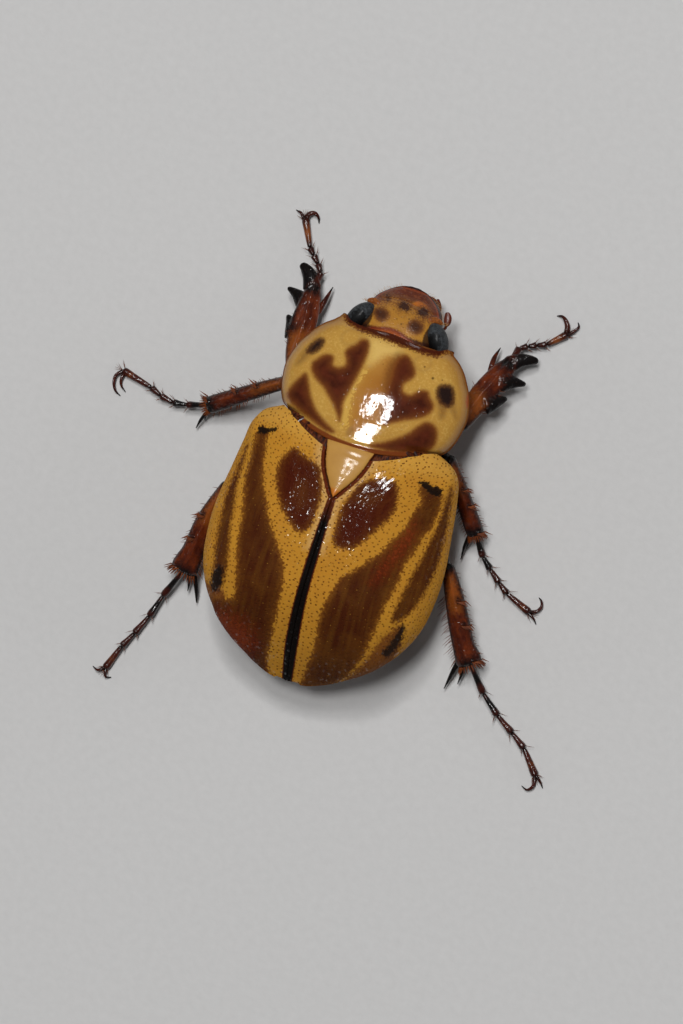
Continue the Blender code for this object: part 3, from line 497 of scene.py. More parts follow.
def wing_case(side_name, side, material, marks):
    """One wing case, its marks painted as distances inside their outlines."""
    share = (1 - np.cos(np.pi * np.linspace(0, 1, WING_CASE_ROWS))) / 2
    root_y = BASE_INNER - BASE_NOTCH
    inner_y = root_y + (TIP - root_y) * share
    scutellum_edge = follow(SCUTELLUM, inner_y)[:, 0] + SCUTELLUM_GAP
    inner_x = np.where(inner_y > SCUTELLUM[-1][0], scutellum_edge, SEAM)
    half_width = follow(ELYTRA, inner_y)[:, 0]
    start = np.arcsin(np.minimum(1.0, inner_x / half_width) ** (ARCH / 2))
    across_share = np.linspace(0, 1, 3 * WING_CASE_COLUMNS)
    angle = start[:, None] + (EDGE_TURN - start[:, None]) * across_share
    out = follow(ELYTRA, np.array((ROOT_PLACE,)))[0, 0] * arch(angle, ARCH)[0] / BASE_SHOULDER
    past = np.clip(BASE_SHOULDER * (out - 1), 0, 1)
    notch = BASE_NOTCH * np.clip(1 - (BASE_SHOULDER * out - 1) / BASE_NOTCH_SPAN, 0, 1)
    base_y = BASE_INNER + BASE_SWEEP * np.minimum(out, 1) ** 2
    base_y = base_y + (BASE_OUTER - BASE_INNER - BASE_SWEEP) * past
    y = base_y - notch + (TIP - base_y + notch) * share[:, None]
    width, top, widest = np.moveaxis(follow(ELYTRA, y), -1, 0)
    across, up = arch(angle, ARCH)
    rise = np.where(up > 0, top - widest, TURNED_UNDER * (top - widest))
    dome = np.stack((width * across, y, widest + rise * up), axis=-1)
    dome, reach = even_rows(dome, WING_CASE_COLUMNS)
    normals = facing(dome)
    rim = reach[:, -1:] - reach
    y = dome[..., 1]
    lift = sum(height * ridge(reach, at, RIB_WIDTH) for at, height in RIBS)
    lift += DOME_SWELL * np.sin(np.pi * np.clip(reach / DOME_SWELL_SPAN, 0, 1))
    lift *= np.clip(rim - RIB_START, 0, 1) * np.clip((y - RIB_END) / RIB_END_FADE, 0, 1)
    for distance, beads in ((reach, SEAM_BEADS), (rim, RIM_BEADS)):
        lift += sum(height * ridge(distance, at, width) for at, width, height in beads)
    for at_reach, at_y, size, height in HUMPS:
        bump = ((reach - at_reach) / size) ** 2 + ((y - at_y) / size) ** 2
        lift += height * np.exp(-bump)
    outer = dome + normals * lift[..., None]
    thick = WING_CASE_THICK * np.clip(rim / THIN_RIM, 0.35, 1) * np.clip(reach / THIN_SEAM, 0.3, 1)
    inner = dome - normals * thick[..., None]
    for grid in (outer, inner):
        grid[..., 0] = np.maximum(grid[..., 0], SEAM)
        grid[..., 0] *= side
    normals[..., 0] *= side
    obj = shell(f"wing_case_{side_name}", outer, inner, material)

    # Where the dome turns away from the sight line, marks keep the values of the last column seen.
    seen = plan(outer)
    last_seen = np.maximum((normals @ sight > GRAZING).sum(axis=1) - 1, 0)
    columns = np.minimum(np.arange(WING_CASE_COLUMNS)[None, :], last_seen[:, None])
    seen = np.take_along_axis(seen, columns[..., None], axis=1)
    for name, outline in marks.items():
        paint(obj, name, inside_by(seen, outline))
    for name, distance in (
        ("seam_stripe", follow(SEAM_STRIPE, y)[..., 0] - reach),
        ("by_scutellum", y - BLACK_END),
        ("cream", np.minimum(CREAM_BREADTH - reach, y - CREAM_END)),
        ("rim", RIM_BREADTH - rim),
        ("root_edge", y - ROOT_EDGE - 0.1 * reach),
    ):
        paint(obj, name, distance)
    paint(obj, "shell_mm", np.stack((reach, y, side + 0 * y), axis=-1), size=3)
    settle(obj, "wing_case_chitin", f"elytron_{side_name}")


# Tanned cuticle: light sinks into its clear top layer, so the ground glows and the dark marks
# look deep. It is waxy rather than glassy, with rows of fine pits a quarter millimetre apart and
# a few bare specks between them that glint.
PIT_ROWS = 0.27
PIT_STEP = 0.21
PIT_WANDER = 0.8
GLINT_STEP = 0.1
WING_GROUND = ("#C28B2C", "#AE7526")
WING_GROUND_PALE = "#CFA04C"
WING_CREAM = "#C8A066"
WING_RIM = "#8A5418"
WING_PIT = "#5A2E0C"
WING_DARK = "#431C0A"
WING_DARK_OLIVE = "#5E3810"
WING_DARK_RED = "#6A220A"
WING_OLIVE = "#6A4014"
WING_FLECK = "#9A6A26"
WING_DISC = ("#441506", "#502209")
WING_HAZE = "#6B3C12"
WING_BLACK = "#0F0A08"

wing_finish, tree, shader = finish(
    "tanned_cuticle", Roughness=0.7, IOR=1.55, Specular_IOR_Level=0.04, Coat_Roughness=0.06,
    Coat_IOR=1.45, Subsurface_Weight=0.12, Subsurface_Scale=0.25 * MM, Subsurface_Radius=(1.0, 0.55, 0.2),
)
place = add(tree, "Attribute", out="Vector", attribute_name="shell_mm")
_, grain = fine_grain(tree, place, 0.13)
ground, cloud = clouded(tree, place, WING_GROUND, 1.6)
streak = drawn_out(tree, place, (0.3, 3.5, 1.0))

# Pits: rows of dots on a grid that a slow drift bends. Some carry a fleck of gold in the dark.
pit_place = add(tree, "VectorMath", {0: place, 1: (1 / PIT_ROWS, 1 / PIT_STEP, 1.0)}, operation="MULTIPLY")
wobble = add(tree, "TexNoise", {"Vector": place, "Scale": 1 / PIT_WANDER, "Detail": 1.0}, "Color")
pit_shift = add(tree, "VectorMath", {0: wobble, "Scale": 0.7}, operation="SCALE")
pit_place = add(tree, "VectorMath", {0: pit_place, 1: pit_shift}, operation="ADD")
dots = {"Vector": pit_place, "Scale": 1.0, "Randomness": 0.85}
pits = add(tree, "TexVoronoi", dots, voronoi_dimensions="2D")
pit, fleck = (
    add(
        tree, "MapRange", {"Value": pits, "From Min": outer, "From Max": inner},
        interpolation_type="SMOOTHSTEP",
    )
    for outer, inner in ((0.23, 0.1), (0.16, 0.05))
)
fleck_pick = add(tree, "SeparateColor", {0: pits.node.outputs["Color"]})

ground = inked(
    tree, ground,
    (
        ("root_edge", WING_GROUND_PALE, 0.4, 0.8, 0.5, 0.35),
        ("cream", WING_CREAM, 0.6, 0.6, 0.25, 0.0),
        ("rim", WING_RIM, 0.6, 0.1, 0.05, 0.0),
    ),
    grain,
)
patchy = patches(tree, place, 0.5, 0.3, 0.62, 0.2, 0.92, detail=2.0)
pitted = add(tree, "Math", {0: pit, 1: patchy}, operation="MULTIPLY")
ground = add(tree, "Mix", {0: pitted, 6: ground, 7: linear(WING_PIT)}, 2, data_type="RGBA")

# Dark marks: brown in streaks, with olive clouds, gold flecks and a red blush.
dark = add(tree, "MapRange", {"Value": streak, "From Min": 0.42, "From Max": 0.85})
disc_dark, dark = (
    add(tree, "Mix", {0: dark, 6: linear(first), 7: linear(second)}, 2, data_type="RGBA")
    for first, second in (WING_DISC, (WING_DARK, WING_DARK_OLIVE))
)
olive = add(tree, "MapRange", {"Value": cloud, "From Min": 0.5, "From Max": 0.7, "To Max": 0.4})
gold = {"Value": fleck_pick, "From Min": 0.78, "From Max": 0.98, "To Max": 0.75}
gold = add(tree, "MapRange", gold)
gold = add(tree, "Math", {0: gold, 1: fleck}, operation="MULTIPLY")
for share, tone in ((olive, WING_OLIVE), (gold, WING_FLECK)):
    dark = add(tree, "Mix", {0: share, 6: dark, 7: linear(tone)}, 2, data_type="RGBA")
blushes = (("blush", WING_DARK_RED, 0.6, 1.2, 0.6, 0.0), ("blush", "#8A3A18", 0.4, 2.4, 0.3, -0.4))
red = inked(tree, dark, blushes, grain)
coloured = inked(
    tree, ground,
    (
        ("side_band", WING_HAZE, 0.75, 0.5, 0.1, 0.02),
        ("side_band", red, 0.9, 0.5, 0.08, -0.1),
        ("tail", "#6A3717", 0.85, 0.6, 0.16, 0.0),
        ("disc", WING_HAZE, 0.9, 0.55, 0.08, 0.05),
        ("disc", disc_dark, 0.8, 0.5, 0.12, -0.07),
        ("disc", disc_dark, 1.0, 0.5, 0.25, -0.3),
        # Painted sheen: a lighter olive-brown patch on each dark disc stands in for the soft glow of the
        # lamps' light on it.
        ("painted_sheen", "#6A3E16", 0.35, 0.5, 0.45, -0.15),
        ("band", WING_HAZE, 0.9, 0.6, 0.08, 0.05),
        ("band", red, 0.8, 0.5, 0.15, -0.1),
        ("band", red, 1.0, 0.5, 0.3, -0.4),
        ("ink", "#15100E", 0.92, 0.5, 0.12, 0.0),
        ("hook", "#120C09", 0.95, 0.35, 0.05, 0.02),
        ("seam_stripe", "#5A230C", 1.0, 0.12, 0.03, 0.02),
    ),
    grain,
)
black = add(tree, "Attribute", out="Fac", attribute_name="seam_stripe")
black = add(tree, "MapRange", {"Value": black, "From Min": 0.0, "From Max": 0.06})
away = add(tree, "Attribute", out="Fac", attribute_name="by_scutellum")
away = add(tree, "MapRange", {"Value": away, "From Min": 0.5, "From Max": -1.0})
black = add(tree, "Math", {0: black, 1: away}, operation="MULTIPLY")
coloured = add(tree, "Mix", {0: black, 6: coloured, 7: linear(WING_BLACK)}, 2, data_type="RGBA")
skin_grain = add(tree, "TexNoise", {"Vector": place, "Scale": 1 / 0.09, "Detail": 2.0})
height = add(tree, "Math", {0: pit, 1: -1.0, 2: skin_grain}, operation="MULTIPLY_ADD")
dress(tree, shader, coloured, height, 0.02, 1.0)

# Glints: bare domes among the wax, smoother and brighter in the patches that catch the lamps.
waxed = add(tree, "TexVoronoi", {"Vector": place, "Scale": 1 / GLINT_STEP, "Randomness": 1.0})
glints = add(tree, "SeparateColor", {0: waxed.node.outputs["Color"]})
glints = {"Value": glints, "From Min": 0.92, "From Max": 0.97, "To Min": 0.01, "To Max": 0.8}
glints = add(tree, "MapRange", glints)
zone = add(tree, "Attribute", out="Fac", attribute_name="gleam")
smooth = {"Value": zone, "From Min": -0.2, "From Max": 0.0, "To Min": 1.0, "To Max": 0.15}
smooth = add(tree, "MapRange", smooth)
gleam = add(tree, "MapRange", {"Value": zone, "From Min": -0.1, "From Max": 0.15})
ripple = drawn_out(tree, place, (0.2, 0.5, 1.0), 1.0)
lit = {"Value": ripple, "From Min": 0.5, "From Max": 0.6, "To Max": 0.85}
lit = add(tree, "MapRange", lit, interpolation_type="SMOOTHSTEP")
gleam = add(tree, "Math", {0: gleam, 1: lit}, operation="MULTIPLY")
dome = {"Height": waxed, "Distance": 0.014 * MM, "Strength": smooth}
lift = add(tree, "Bump", dome, invert=True)
tree.links.new(lift, shader.inputs["Coat Normal"])
glints = add(tree, "Math", {0: glints, 1: gleam}, operation="MAXIMUM")
tree.links.new(glints, shader.inputs["Coat Weight"])

wing_case("left", -1, wing_finish, WING_MARKS_LEFT)
wing_case("right", 1, wing_finish, WING_MARKS_RIGHT)


# Scutellum
# The small triangular plate between the roots of the wing cases, of cream cuticle with
# red-brown edges. It tucks under the shield in front.
SCUTELLUM_SINK = 0.02
SCUTELLUM_THICK = 0.4
SCUTELLUM_RIM = 0.07
SCUTELLUM_ROWS = 40
SCUTELLUM_COLUMNS = 33

scutellum_finish, tree, shader = finish(
    "pale_cuticle", Roughness=0.4, IOR=1.55, Specular_IOR_Level=0.06, Coat_Weight=0.3, Coat_Roughness=0.1,
)
place = in_millimetres(tree)
fine, grain = fine_grain(tree, place, 0.12, 2.0)
cream, _ = clouded(tree, place, ("#BE9048", "#A87838"), 0.7, 2.0)
layers = (("tip", "#C06A1C", 0.8, 0.1, 0.12, 0.0), ("edge", "#4A1A0A", 1.0, 0.1, 0.03, 0.0))
dress(tree, shader, inked(tree, cream, layers, grain), fine, 0.01, 0.4)

y = np.linspace(SCUTELLUM[0][0], SCUTELLUM[-1][0], SCUTELLUM_ROWS)[:, None]
across = np.linspace(-1, 1, SCUTELLUM_COLUMNS)[None, :]
half = follow(SCUTELLUM, y)[..., 0]
crest = follow(ELYTRA, y)[..., 1] - SCUTELLUM_SINK
edge = half * (1 - np.abs(across))
z = crest - 0.1 * across**2 - 0.06 * ridge(edge, 0, SCUTELLUM_RIM)
z = z + 0.003 * np.sin(15.7 * y + 0.8 * across)
top = np.stack(np.broadcast_arrays(half * across, y, z), axis=-1)
plate = shell("scutellum_plate", top, top - np.array((0, 0, SCUTELLUM_THICK)), scutellum_finish)
paint(plate, "edge", SCUTELLUM_RIM - edge)
paint(plate, "tip", -1.15 - y + 0 * across)
settle(plate, "shield_chitin", "scutellum")


# Pronotum
# The broad polished shield behind the head, one arched plate with a fine raised rim. It is
# the glossiest part: the same cuticle as the wing cases, laid down smooth and clear.
PRONOTUM = (
    (1.02, 3.7, 4.9, 6.88),
    (1.83, 3.7, 4.87, 6.84),
    (2.15, 4.18, 4.84, 6.82),
    (2.6, 4.48, 4.8, 6.78),
    (3.25, 4.68, 4.72, 6.68),
    (4.25, 4.77, 4.62, 6.46),
    (5.25, 4.5, 4.52, 6.12),
    (5.75, 4.22, 4.46, 5.9),
    (6.25, 3.9, 4.4, 5.66),
    (6.62, 3.56, 4.35, 5.46),
    (7.0, 3.1, 4.3, 5.2),
    (7.42, 2.85, 4.25, 4.9),
)
PRONOTUM_REAR = 1.02
PRONOTUM_REAR_SWEEP = 0.81
PRONOTUM_FRONT = 6.93
PRONOTUM_FRONT_SWELL = 0.14
PRONOTUM_FRONT_SKEW = 0.1
PRONOTUM_CORNER_REACH = 0.62
PRONOTUM_CORNER_POWER = 6
PRONOTUM_CORNER_ROUND = 0.27
PRONOTUM_ARCH = 2.15
PRONOTUM_THICK = 0.3
PRONOTUM_ROWS = 130
PRONOTUM_COLUMNS = 190
EDGE_BEAD = (0.05, 0.05, 0.05)
EDGE_GROOVE = (0.2, 0.07, -0.03)
EDGE_WIDTHS = (1.0, 1.3, 1.0)
BEAD_END = 7.3
FRONT_RIM = 0.13
REAR_RIM = 0.22
SIDE_RIM = 0.07
RING_LINE = 0.06

# Marks on the tracing plane, and dimples with their radii.
SHIELD_MARKS = {
    "lobe": (
        (
            (-1.67, 6.07), (-1.44, 6.4), (-1.12, 6.43), (-0.98, 6.12), (-0.96, 5.67), (-1.03, 4.95),
            (-1.2, 4.0), (-1.37, 3.1), (-1.28, 2.68), (-1.25, 2.14), (-1.49, 2.47), (-1.82, 2.86),
            (-2.22, 3.22), (-2.53, 3.51), (-2.88, 3.71), (-3.15, 3.9), (-3.38, 4.18), (-3.45, 4.51),
            (-3.29, 4.77), (-3.04, 5.07), (-2.72, 5.18), (-2.52, 5.1), (-2.45, 4.77), (-2.28, 4.69),
            (-2.02, 4.75), (-1.85, 4.93), (-1.89, 5.19), (-2.06, 5.53), (-1.94, 5.81),
        ),
        (
            (0.79, 6.3), (1.07, 6.3), (1.38, 6.01), (1.62, 5.6), (1.54, 5.29), (1.28, 4.99), (1.22, 4.76),
            (1.36, 4.53), (1.72, 4.5), (1.91, 4.68), (2.16, 4.89), (2.5, 4.93), (2.69, 4.68),
            (2.99, 4.35), (2.95, 3.99), (2.59, 3.59), (1.8, 3.18), (1.21, 2.84), (0.9, 2.68),
            (0.82, 2.94), (0.76, 3.35), (0.67, 3.88), (0.56, 4.41), (0.54, 4.89), (0.5, 5.57),
            (0.57, 5.99),
        ),
    ),
    "wedge": (
        (
            (-3.57, 3.91), (-3.79, 3.7), (-4.09, 3.11), (-4.19, 2.65), (-4.04, 2.42), (-3.65, 2.19),
            (-2.68, 1.8), (-1.73, 1.48), (-1.34, 1.57), (-1.68, 1.78), (-2.01, 1.95), (-2.54, 2.34),
            (-2.87, 2.73), (-3.09, 3.08), (-3.3, 3.5),
        ),
        (
            (2.85, 3.43), (3.19, 3.46), (3.49, 3.28), (3.65, 2.87), (3.61, 2.37), (3.15, 1.85),
            (2.32, 1.58), (1.31, 1.45), (0.53, 1.47), (1.18, 1.85), (1.75, 2.25), (2.24, 2.69),
            (2.53, 3.11),
        ),
    ),
    "spot": (
        (
            (-3.92, 4.96), (-3.84, 5.37), (-3.6, 5.73), (-3.3, 5.86), (-3.17, 5.69), (-3.21, 5.4),
            (-3.4, 5.09), (-3.68, 4.89),
        ),
        (
            (2.93, 4.9), (2.86, 5.23), (3.03, 5.48), (3.41, 5.6), (3.7, 5.46), (3.88, 5.06), (3.9, 4.7),
            (3.64, 4.46), (3.22, 4.57),
        ),
    ),
    "fade": (
        ((-3.5, 5.2), (-3.95, 5.1), (-4.15, 4.6), (-4.2, 4.15), (-4.0, 4.3), (-3.7, 4.8)),
        (
            (3.0, 4.8), (3.8, 5.0), (4.05, 4.6), (4.25, 4.1), (4.0, 4.25), (3.75, 4.4), (3.65, 3.9),
            (3.45, 3.85), (3.25, 4.3),
        ),
    ),
    "middle": (
        (
            (0.0, 6.1), (-0.5, 5.5), (-0.85, 4.85), (-0.92, 4.4), (-1.05, 4.1), (-1.08, 3.75),
            (-1.04, 3.3), (-0.92, 2.66), (-0.84, 2.1), (-0.5, 1.75), (-0.1, 1.7), (0.5, 2.3), (1.0, 2.9),
            (1.0, 4.0), (0.9, 5.2), (0.6, 6.0),
        ),
    ),
    "pale": (
        ((-1.0, 6.6), (-0.2, 6.65), (0.55, 6.5), (0.55, 5.9), (0.2, 5.3), (-0.3, 5.0), (-0.8, 5.5)),
    ),
    "strip": (
        (
            (-0.72, 4.95), (-0.85, 4.7), (-0.9, 4.4), (-1.0, 4.16), (-1.03, 3.8), (-1.02, 3.32),
            (-0.9, 2.66), (-0.82, 2.0), (-1.2, 2.1), (-1.28, 2.7), (-1.33, 3.1), (-1.28, 3.52),
            (-1.18, 4.0), (-1.07, 4.5), (-1.0, 4.95),
        ),
    ),
    "right_fade": (
        (
            (0.25, 5.8), (0.5, 6.3), (0.95, 6.1), (1.1, 5.0), (1.1, 3.2), (0.8, 2.75), (0.5, 3.5),
            (0.3, 4.4), (0.2, 5.2),
        ),
    ),
    "smudge": (((-0.75, 1.6), (-0.5, 1.65), (-0.42, 1.9), (-0.55, 2.1), (-0.72, 1.95)),),
    "blot": (((4.45, 5.5), (4.6, 5.2), (4.65, 4.75), (4.52, 4.85), (4.42, 5.2)),),
    "front_band": (
        (
            (-2.9, 7.75), (-2.66, 7.3), (-2.45, 6.95), (-1.89, 6.81), (-1.13, 6.73), (-0.62, 6.73),
            (-0.12, 6.7), (0.39, 6.67), (0.89, 6.65), (1.65, 6.62), (2.31, 6.67), (2.55, 6.8), (2.7, 7.1),
            (2.95, 7.6), (0.0, 7.9),
        ),
    ),
    "ring": (
        ((-2.46, 6.31), (-2.15, 6.66), (-1.58, 6.67), (-1.65, 6.22), (-1.98, 5.94), (-2.31, 5.97)),
        ((1.42, 6.31), (1.76, 6.56), (2.14, 6.47), (2.2, 6.07), (1.86, 5.82), (1.49, 5.98)),
    ),
}
DIMPLES = ((1.96, 6.06, 0.05), (2.52, 5.64, 0.07), (-0.06, 5.54, 0.03), (3.0, 5.7, 0.04))


def front_edge(across):
    """How far forward the shield's front edge lies: it swells in the middle and at the corners."""
    swell = PRONOTUM_FRONT_SWELL * ridge(across, 0, 0.33) - PRONOTUM_FRONT_SKEW * across
    corner = PRONOTUM_CORNER_REACH * np.abs(across) ** PRONOTUM_CORNER_POWER
    blunt = PRONOTUM_CORNER_ROUND * np.clip((np.abs(across) - 0.88) / 0.12, 0, 1) ** 2
    return PRONOTUM_FRONT + swell + corner - blunt


def pronotum_surface(share, angle):
    """Points of the shield: share runs from its rear edge to its front, angle from side to side."""
    across, up = arch(angle, PRONOTUM_ARCH)
    rear = PRONOTUM_REAR + PRONOTUM_REAR_SWEEP * across**2
    front = front_edge(across)
    y = rear + (front - rear) * share
    half, margin, top = np.moveaxis(follow(PRONOTUM, y), -1, 0)
    return np.stack((half * across, y, margin + (top - margin) * up), axis=-1)


def inside_any(places, outlines):
    """How far each place lies inside the outline that it is deepest in."""
    return np.maximum.reduce([inside_by(places, outline) for outline in outlines])


def in_dots(places, dots):
    """How far each place lies inside the nearest of some round dots."""
    return np.maximum.reduce([size - np.linalg.norm(places - (x, y), axis=-1) for x, y, size in dots])


def dented(tree, place, rough, share, size, edges, spread=1.0):
    """Pits of this size, open between these distances from their middles, and the height of a
    surface that has both the pits and a share of this roughness."""
    cells = add(tree, "TexVoronoi", {"Vector": place, "Scale": 1 / size, "Randomness": spread})
    pits = add(tree, "MapRange", {"Value": cells, "From Min": edges[0], "From Max": edges[1]})
    return pits, add(tree, "Math", {0: rough, 1: share, 2: pits}, operation="MULTIPLY_ADD")


shield_finish, tree, shader = finish(
    "polished_cuticle", Roughness=0.7, IOR=1.56, Specular_IOR_Level=0.03, Coat_Roughness=0.07,
    Coat_IOR=1.42, Subsurface_Weight=0.12, Subsurface_Scale=0.25 * MM, Subsurface_Radius=(1.0, 0.55, 0.2),
)
place = in_millimetres(tree)
fine, grain = fine_grain(tree, place, 0.12, 2.0)
yellow, _ = clouded(tree, place, ("#BF9444", "#AC7D35"), 1.8, 2.0)
speck = add(tree, "MapRange", {"Value": fine, "From Min": 0.48, "From Max": 0.7, "To Max": 0.45})
yellow = add(tree, "Mix", {0: speck, 6: yellow, 7: linear("#D3AE5E")}, 2, data_type="RGBA")
patchy = patches(tree, place, 0.45, 0.35, 0.68, detail=4.0)
deep = add(tree, "Mix", {0: patchy, 6: linear("#3E1607"), 7: linear("#582410")}, 2, data_type="RGBA")
blotches = [
    layer
    for name in ("wedge", "lobe")
    for layer in (
        (name, "#7A4418", 0.9, 0.15, 0.13, 0.04),
        (name, "#5A280E", 0.8, 0.15, 0.12, -0.08),
        (name, deep, 1.0, 0.12, 0.25, -0.25),
    )
]
coloured = inked(
    tree, yellow,
    (
        # Painted shade: this first side_edge layer darkens the shield broadly towards its sides, where less
        # light falls. The second side_edge layer, below, is the real brown rim line.
        ("side_edge", "#80501C", 0.85, 0.3, 0.7, 0.65),
        ("pale", "#D6B163", 0.9, 0.3, 0.45, 0.0),
        ("middle", "#A8702A", 0.85, 0.3, 0.3, -0.05),
        ("middle", "#8F5520", 0.5, 0.3, 0.5, -0.6),
        ("strip", "#CBA04A", 0.95, 0.9, 0.05, 0.0),
        ("right_fade", "#6E3E16", 0.9, 0.2, 0.3, 0.0),
        ("ring", "#8E6838", 0.35, 0.15, 0.14, 0.0),
        ("fade", "#6B4420", 0.6, 0.4, 0.2, 0.0),
        *blotches,
        ("spot", "#553016", 0.9, 0.2, 0.1, 0.02),
        ("spot", "#22130F", 1.0, 0.25, 0.14, -0.14),
        ("smudge", "#8A6030", 0.6, 0.2, 0.1, 0.0),
        ("dimples", "#3C2210", 0.75, 0.02, 0.03, 0.0),
        ("blot", "#A23A14", 0.6, 0.2, 0.06, 0.0),
        ("rear_edge", "#6E3210", 0.97, 0.05, 0.05, 0.02),
        ("side_edge", "#6A3612", 0.9, 0.04, 0.04, 0.06),
        ("front_band", "#643312", 0.9, 0.6, 0.07, 0.03),
        ("front_band", "#401508", 0.95, 0.4, 0.07, -0.1),
    ),
    grain,
)
ripple = add(tree, "TexNoise", {"Vector": place, "Scale": 1 / 0.3, "Detail": 1.0})
_, height = dented(tree, place, ripple, 1.0, 0.24, (0.05, 0.2), 0.9)
dress(tree, shader, coloured, height, 0.008, 0.9, ("Normal", "Coat Normal"))

# The clear top layer thins out on the front band and down the sides.
gloss = []
for name, start, end, least in (("front_band", -0.1, 0.1, 0.12), ("side_edge", -0.5, 0.0, 0.1)):
    reach = add(tree, "Attribute", out="Fac", attribute_name=name)
    span = {"Value": reach, "From Min": start, "From Max": end, "To Min": 1.0, "To Max": least}
    gloss.append(add(tree, "MapRange", span))
gloss = add(tree, "Math", {0: gloss[0], 1: gloss[1]}, operation="MULTIPLY")
tree.links.new(gloss, shader.inputs["Coat Weight"])

share = (1 - np.cos(np.pi * np.linspace(0, 1, PRONOTUM_ROWS)))[:, None] / 2
angle = np.linspace(-np.pi / 2, np.pi / 2, 3 * PRONOTUM_COLUMNS)[None, :]
arched, reach = even_rows(pronotum_surface(share, angle), PRONOTUM_COLUMNS)
from_side = np.minimum(reach, reach[:, -1:] - reach)
x_share = arched[..., 0] / np.maximum(follow(PRONOTUM, arched[..., 1])[..., 0], 1e-6)
from_rear = arched[..., 1] - PRONOTUM_REAR - PRONOTUM_REAR_SWEEP * x_share**2
from_front = front_edge(x_share) - arched[..., 1]
normals = facing(arched)
lift = np.zeros(reach.shape)
for distance, wider in zip((from_side, from_rear, from_front), EDGE_WIDTHS):
    for at, width, height in (EDGE_BEAD, EDGE_GROOVE):
        lift += height * ridge(distance, at * wider, width * wider)
lift *= np.clip((BEAD_END - arched[..., 1]) / 0.2, 0, 1)
outer = arched + normals * lift[..., None]
thin = np.clip(np.minimum(from_side, np.minimum(from_rear, from_front)) / 0.2, 0.3, 1)
under = arched - normals * (PRONOTUM_THICK * thin)[..., None]
shield = shell("pronotum_shield", outer, under, shield_finish)
seen = plan(outer)
marks = {name: inside_any(seen, outlines) for name, outlines in SHIELD_MARKS.items()}
marks["front_band"] = np.maximum(marks["front_band"], FRONT_RIM - from_front)
marks["ring"] = RING_LINE - np.abs(marks["ring"])
marks["dimples"] = in_dots(seen, DIMPLES)
marks["rear_edge"] = REAR_RIM - from_rear
marks["side_edge"] = SIDE_RIM - from_side
for name, distance in marks.items():
    paint(shield, name, distance)
settle(shield, "shield_chitin", "pronotum")


# Head
# A flat-topped capsule of the same cuticle: yellow between the eyes, red-brown in front where
# the clypeus ends in a turned-up rim, and joined to the thorax by a red neck membrane.
HEAD = (
    (6.6, 1.75, 5.0, 2.9),
    (6.93, 1.85, 4.98, 2.75),
    (7.3, 1.98, 4.86, 2.55),
    (7.8, 2.0, 4.66, 2.4),
    (8.2, 1.98, 4.44, 2.35),
    (8.55, 1.84, 4.16, 2.35),
    (8.9, 1.66, 3.84, 2.4),
    (9.2, 1.36, 3.53, 2.48),
    (9.45, 1.02, 3.3, 2.56),
    (9.64, 0.62, 3.14, 2.66),
    (9.74, 0.22, 3.05, 2.76),
)
HEAD_ARCH = 2.5
HEAD_ROWS = 150
HEAD_COLUMNS = 180
CLYPEUS = (
    (-1.24, 8.53), (-1.04, 8.84), (-0.61, 8.97), (-0.22, 9.0), (0.31, 9.01), (0.72, 9.0),
    (1.08, 8.92), (1.4, 8.76), (1.54, 8.53), (2.2, 8.3), (2.1, 9.0), (1.6, 9.6), (0.4, 9.95),
    (-0.6, 9.7), (-1.3, 9.3), (-1.7, 8.8),
)
CRESCENT = (
    (0.39, 8.82), (0.55, 9.03), (0.85, 9.08), (1.15, 8.98), (1.3, 8.8), (1.05, 8.86), (0.75, 8.84),
)
HEAD_SPOTS = (
    ((-1.3, 7.86), (-1.2, 8.11), (-0.88, 8.18), (-0.6, 8.06), (-0.62, 7.71), (-0.95, 7.58)),
    ((0.55, 7.8), (0.7, 8.1), (1.1, 8.09), (1.28, 7.84), (1.12, 7.54), (0.72, 7.55)),
)
HEAD_SCARS = (
    ((-0.24, 8.6), (-0.07, 8.85), (0.19, 8.8), (0.36, 8.65), (0.24, 8.46), (-0.07, 8.46)),
    ((0.77, 8.6), (0.94, 8.84), (1.2, 8.84), (1.32, 8.59), (1.15, 8.44), (0.87, 8.44)),
    ((-1.03, 8.88), (-0.86, 8.95), (-0.74, 8.76), (-0.88, 8.62), (-0.93, 8.82)),
    ((1.28, 9.28), (1.36, 9.44), (1.52, 9.36), (1.44, 9.22)),
)
HEAD_DOTS = (
    (-0.13, 7.91, 0.05), (0.0, 7.84, 0.03), (0.19, 7.73, 0.05), (0.48, 8.09, 0.04), (-0.4, 8.3, 0.04),
)
NECK_GLOW = (
    (-1.3, 7.1), (-0.9, 7.26), (-0.5, 7.38), (-0.1, 7.42), (0.35, 7.33), (0.8, 7.15), (1.1, 6.98),
    (1.0, 6.6), (-1.3, 6.6),
)
SEAM_PLACE = 8.78
SEAM_BOW = 0.12
SEAM_DEPTH = 0.035
SEAM_WIDTH = 0.05
EYE_CENTRE = (2.05, 7.52, 4.12)
EYE_RADII = (0.53, 0.87, 0.56)
EYE_SOCKET = (0.66, 0.84)
EYE_TURN = math.radians(34)
CANTHUS = ((1.3, 8.3, 4.13, 0.15, 0.1), (1.65, 8.44, 3.96, 0.17, 0.09), (2.0, 8.36, 3.82, 0.1, 0.07))

# The rim round the clypeus with the groove behind it: distance in from the edge, width, height.
# Humps on the crown: x, y, width and height.
CLYPEUS_BEADS = ((0.02, 0.12, 0.1), (0.28, 0.14, -0.05))
CLYPEUS_START = 8.35
RIM_START = 8.5
HEAD_RIM = 0.1
COLLAR = 7.2
HEAD_HUMPS = ((-0.9, 7.9, 0.5, 0.05), (0.9, 7.9, 0.5, 0.05), (0.0, 8.4, 0.5, -0.04))

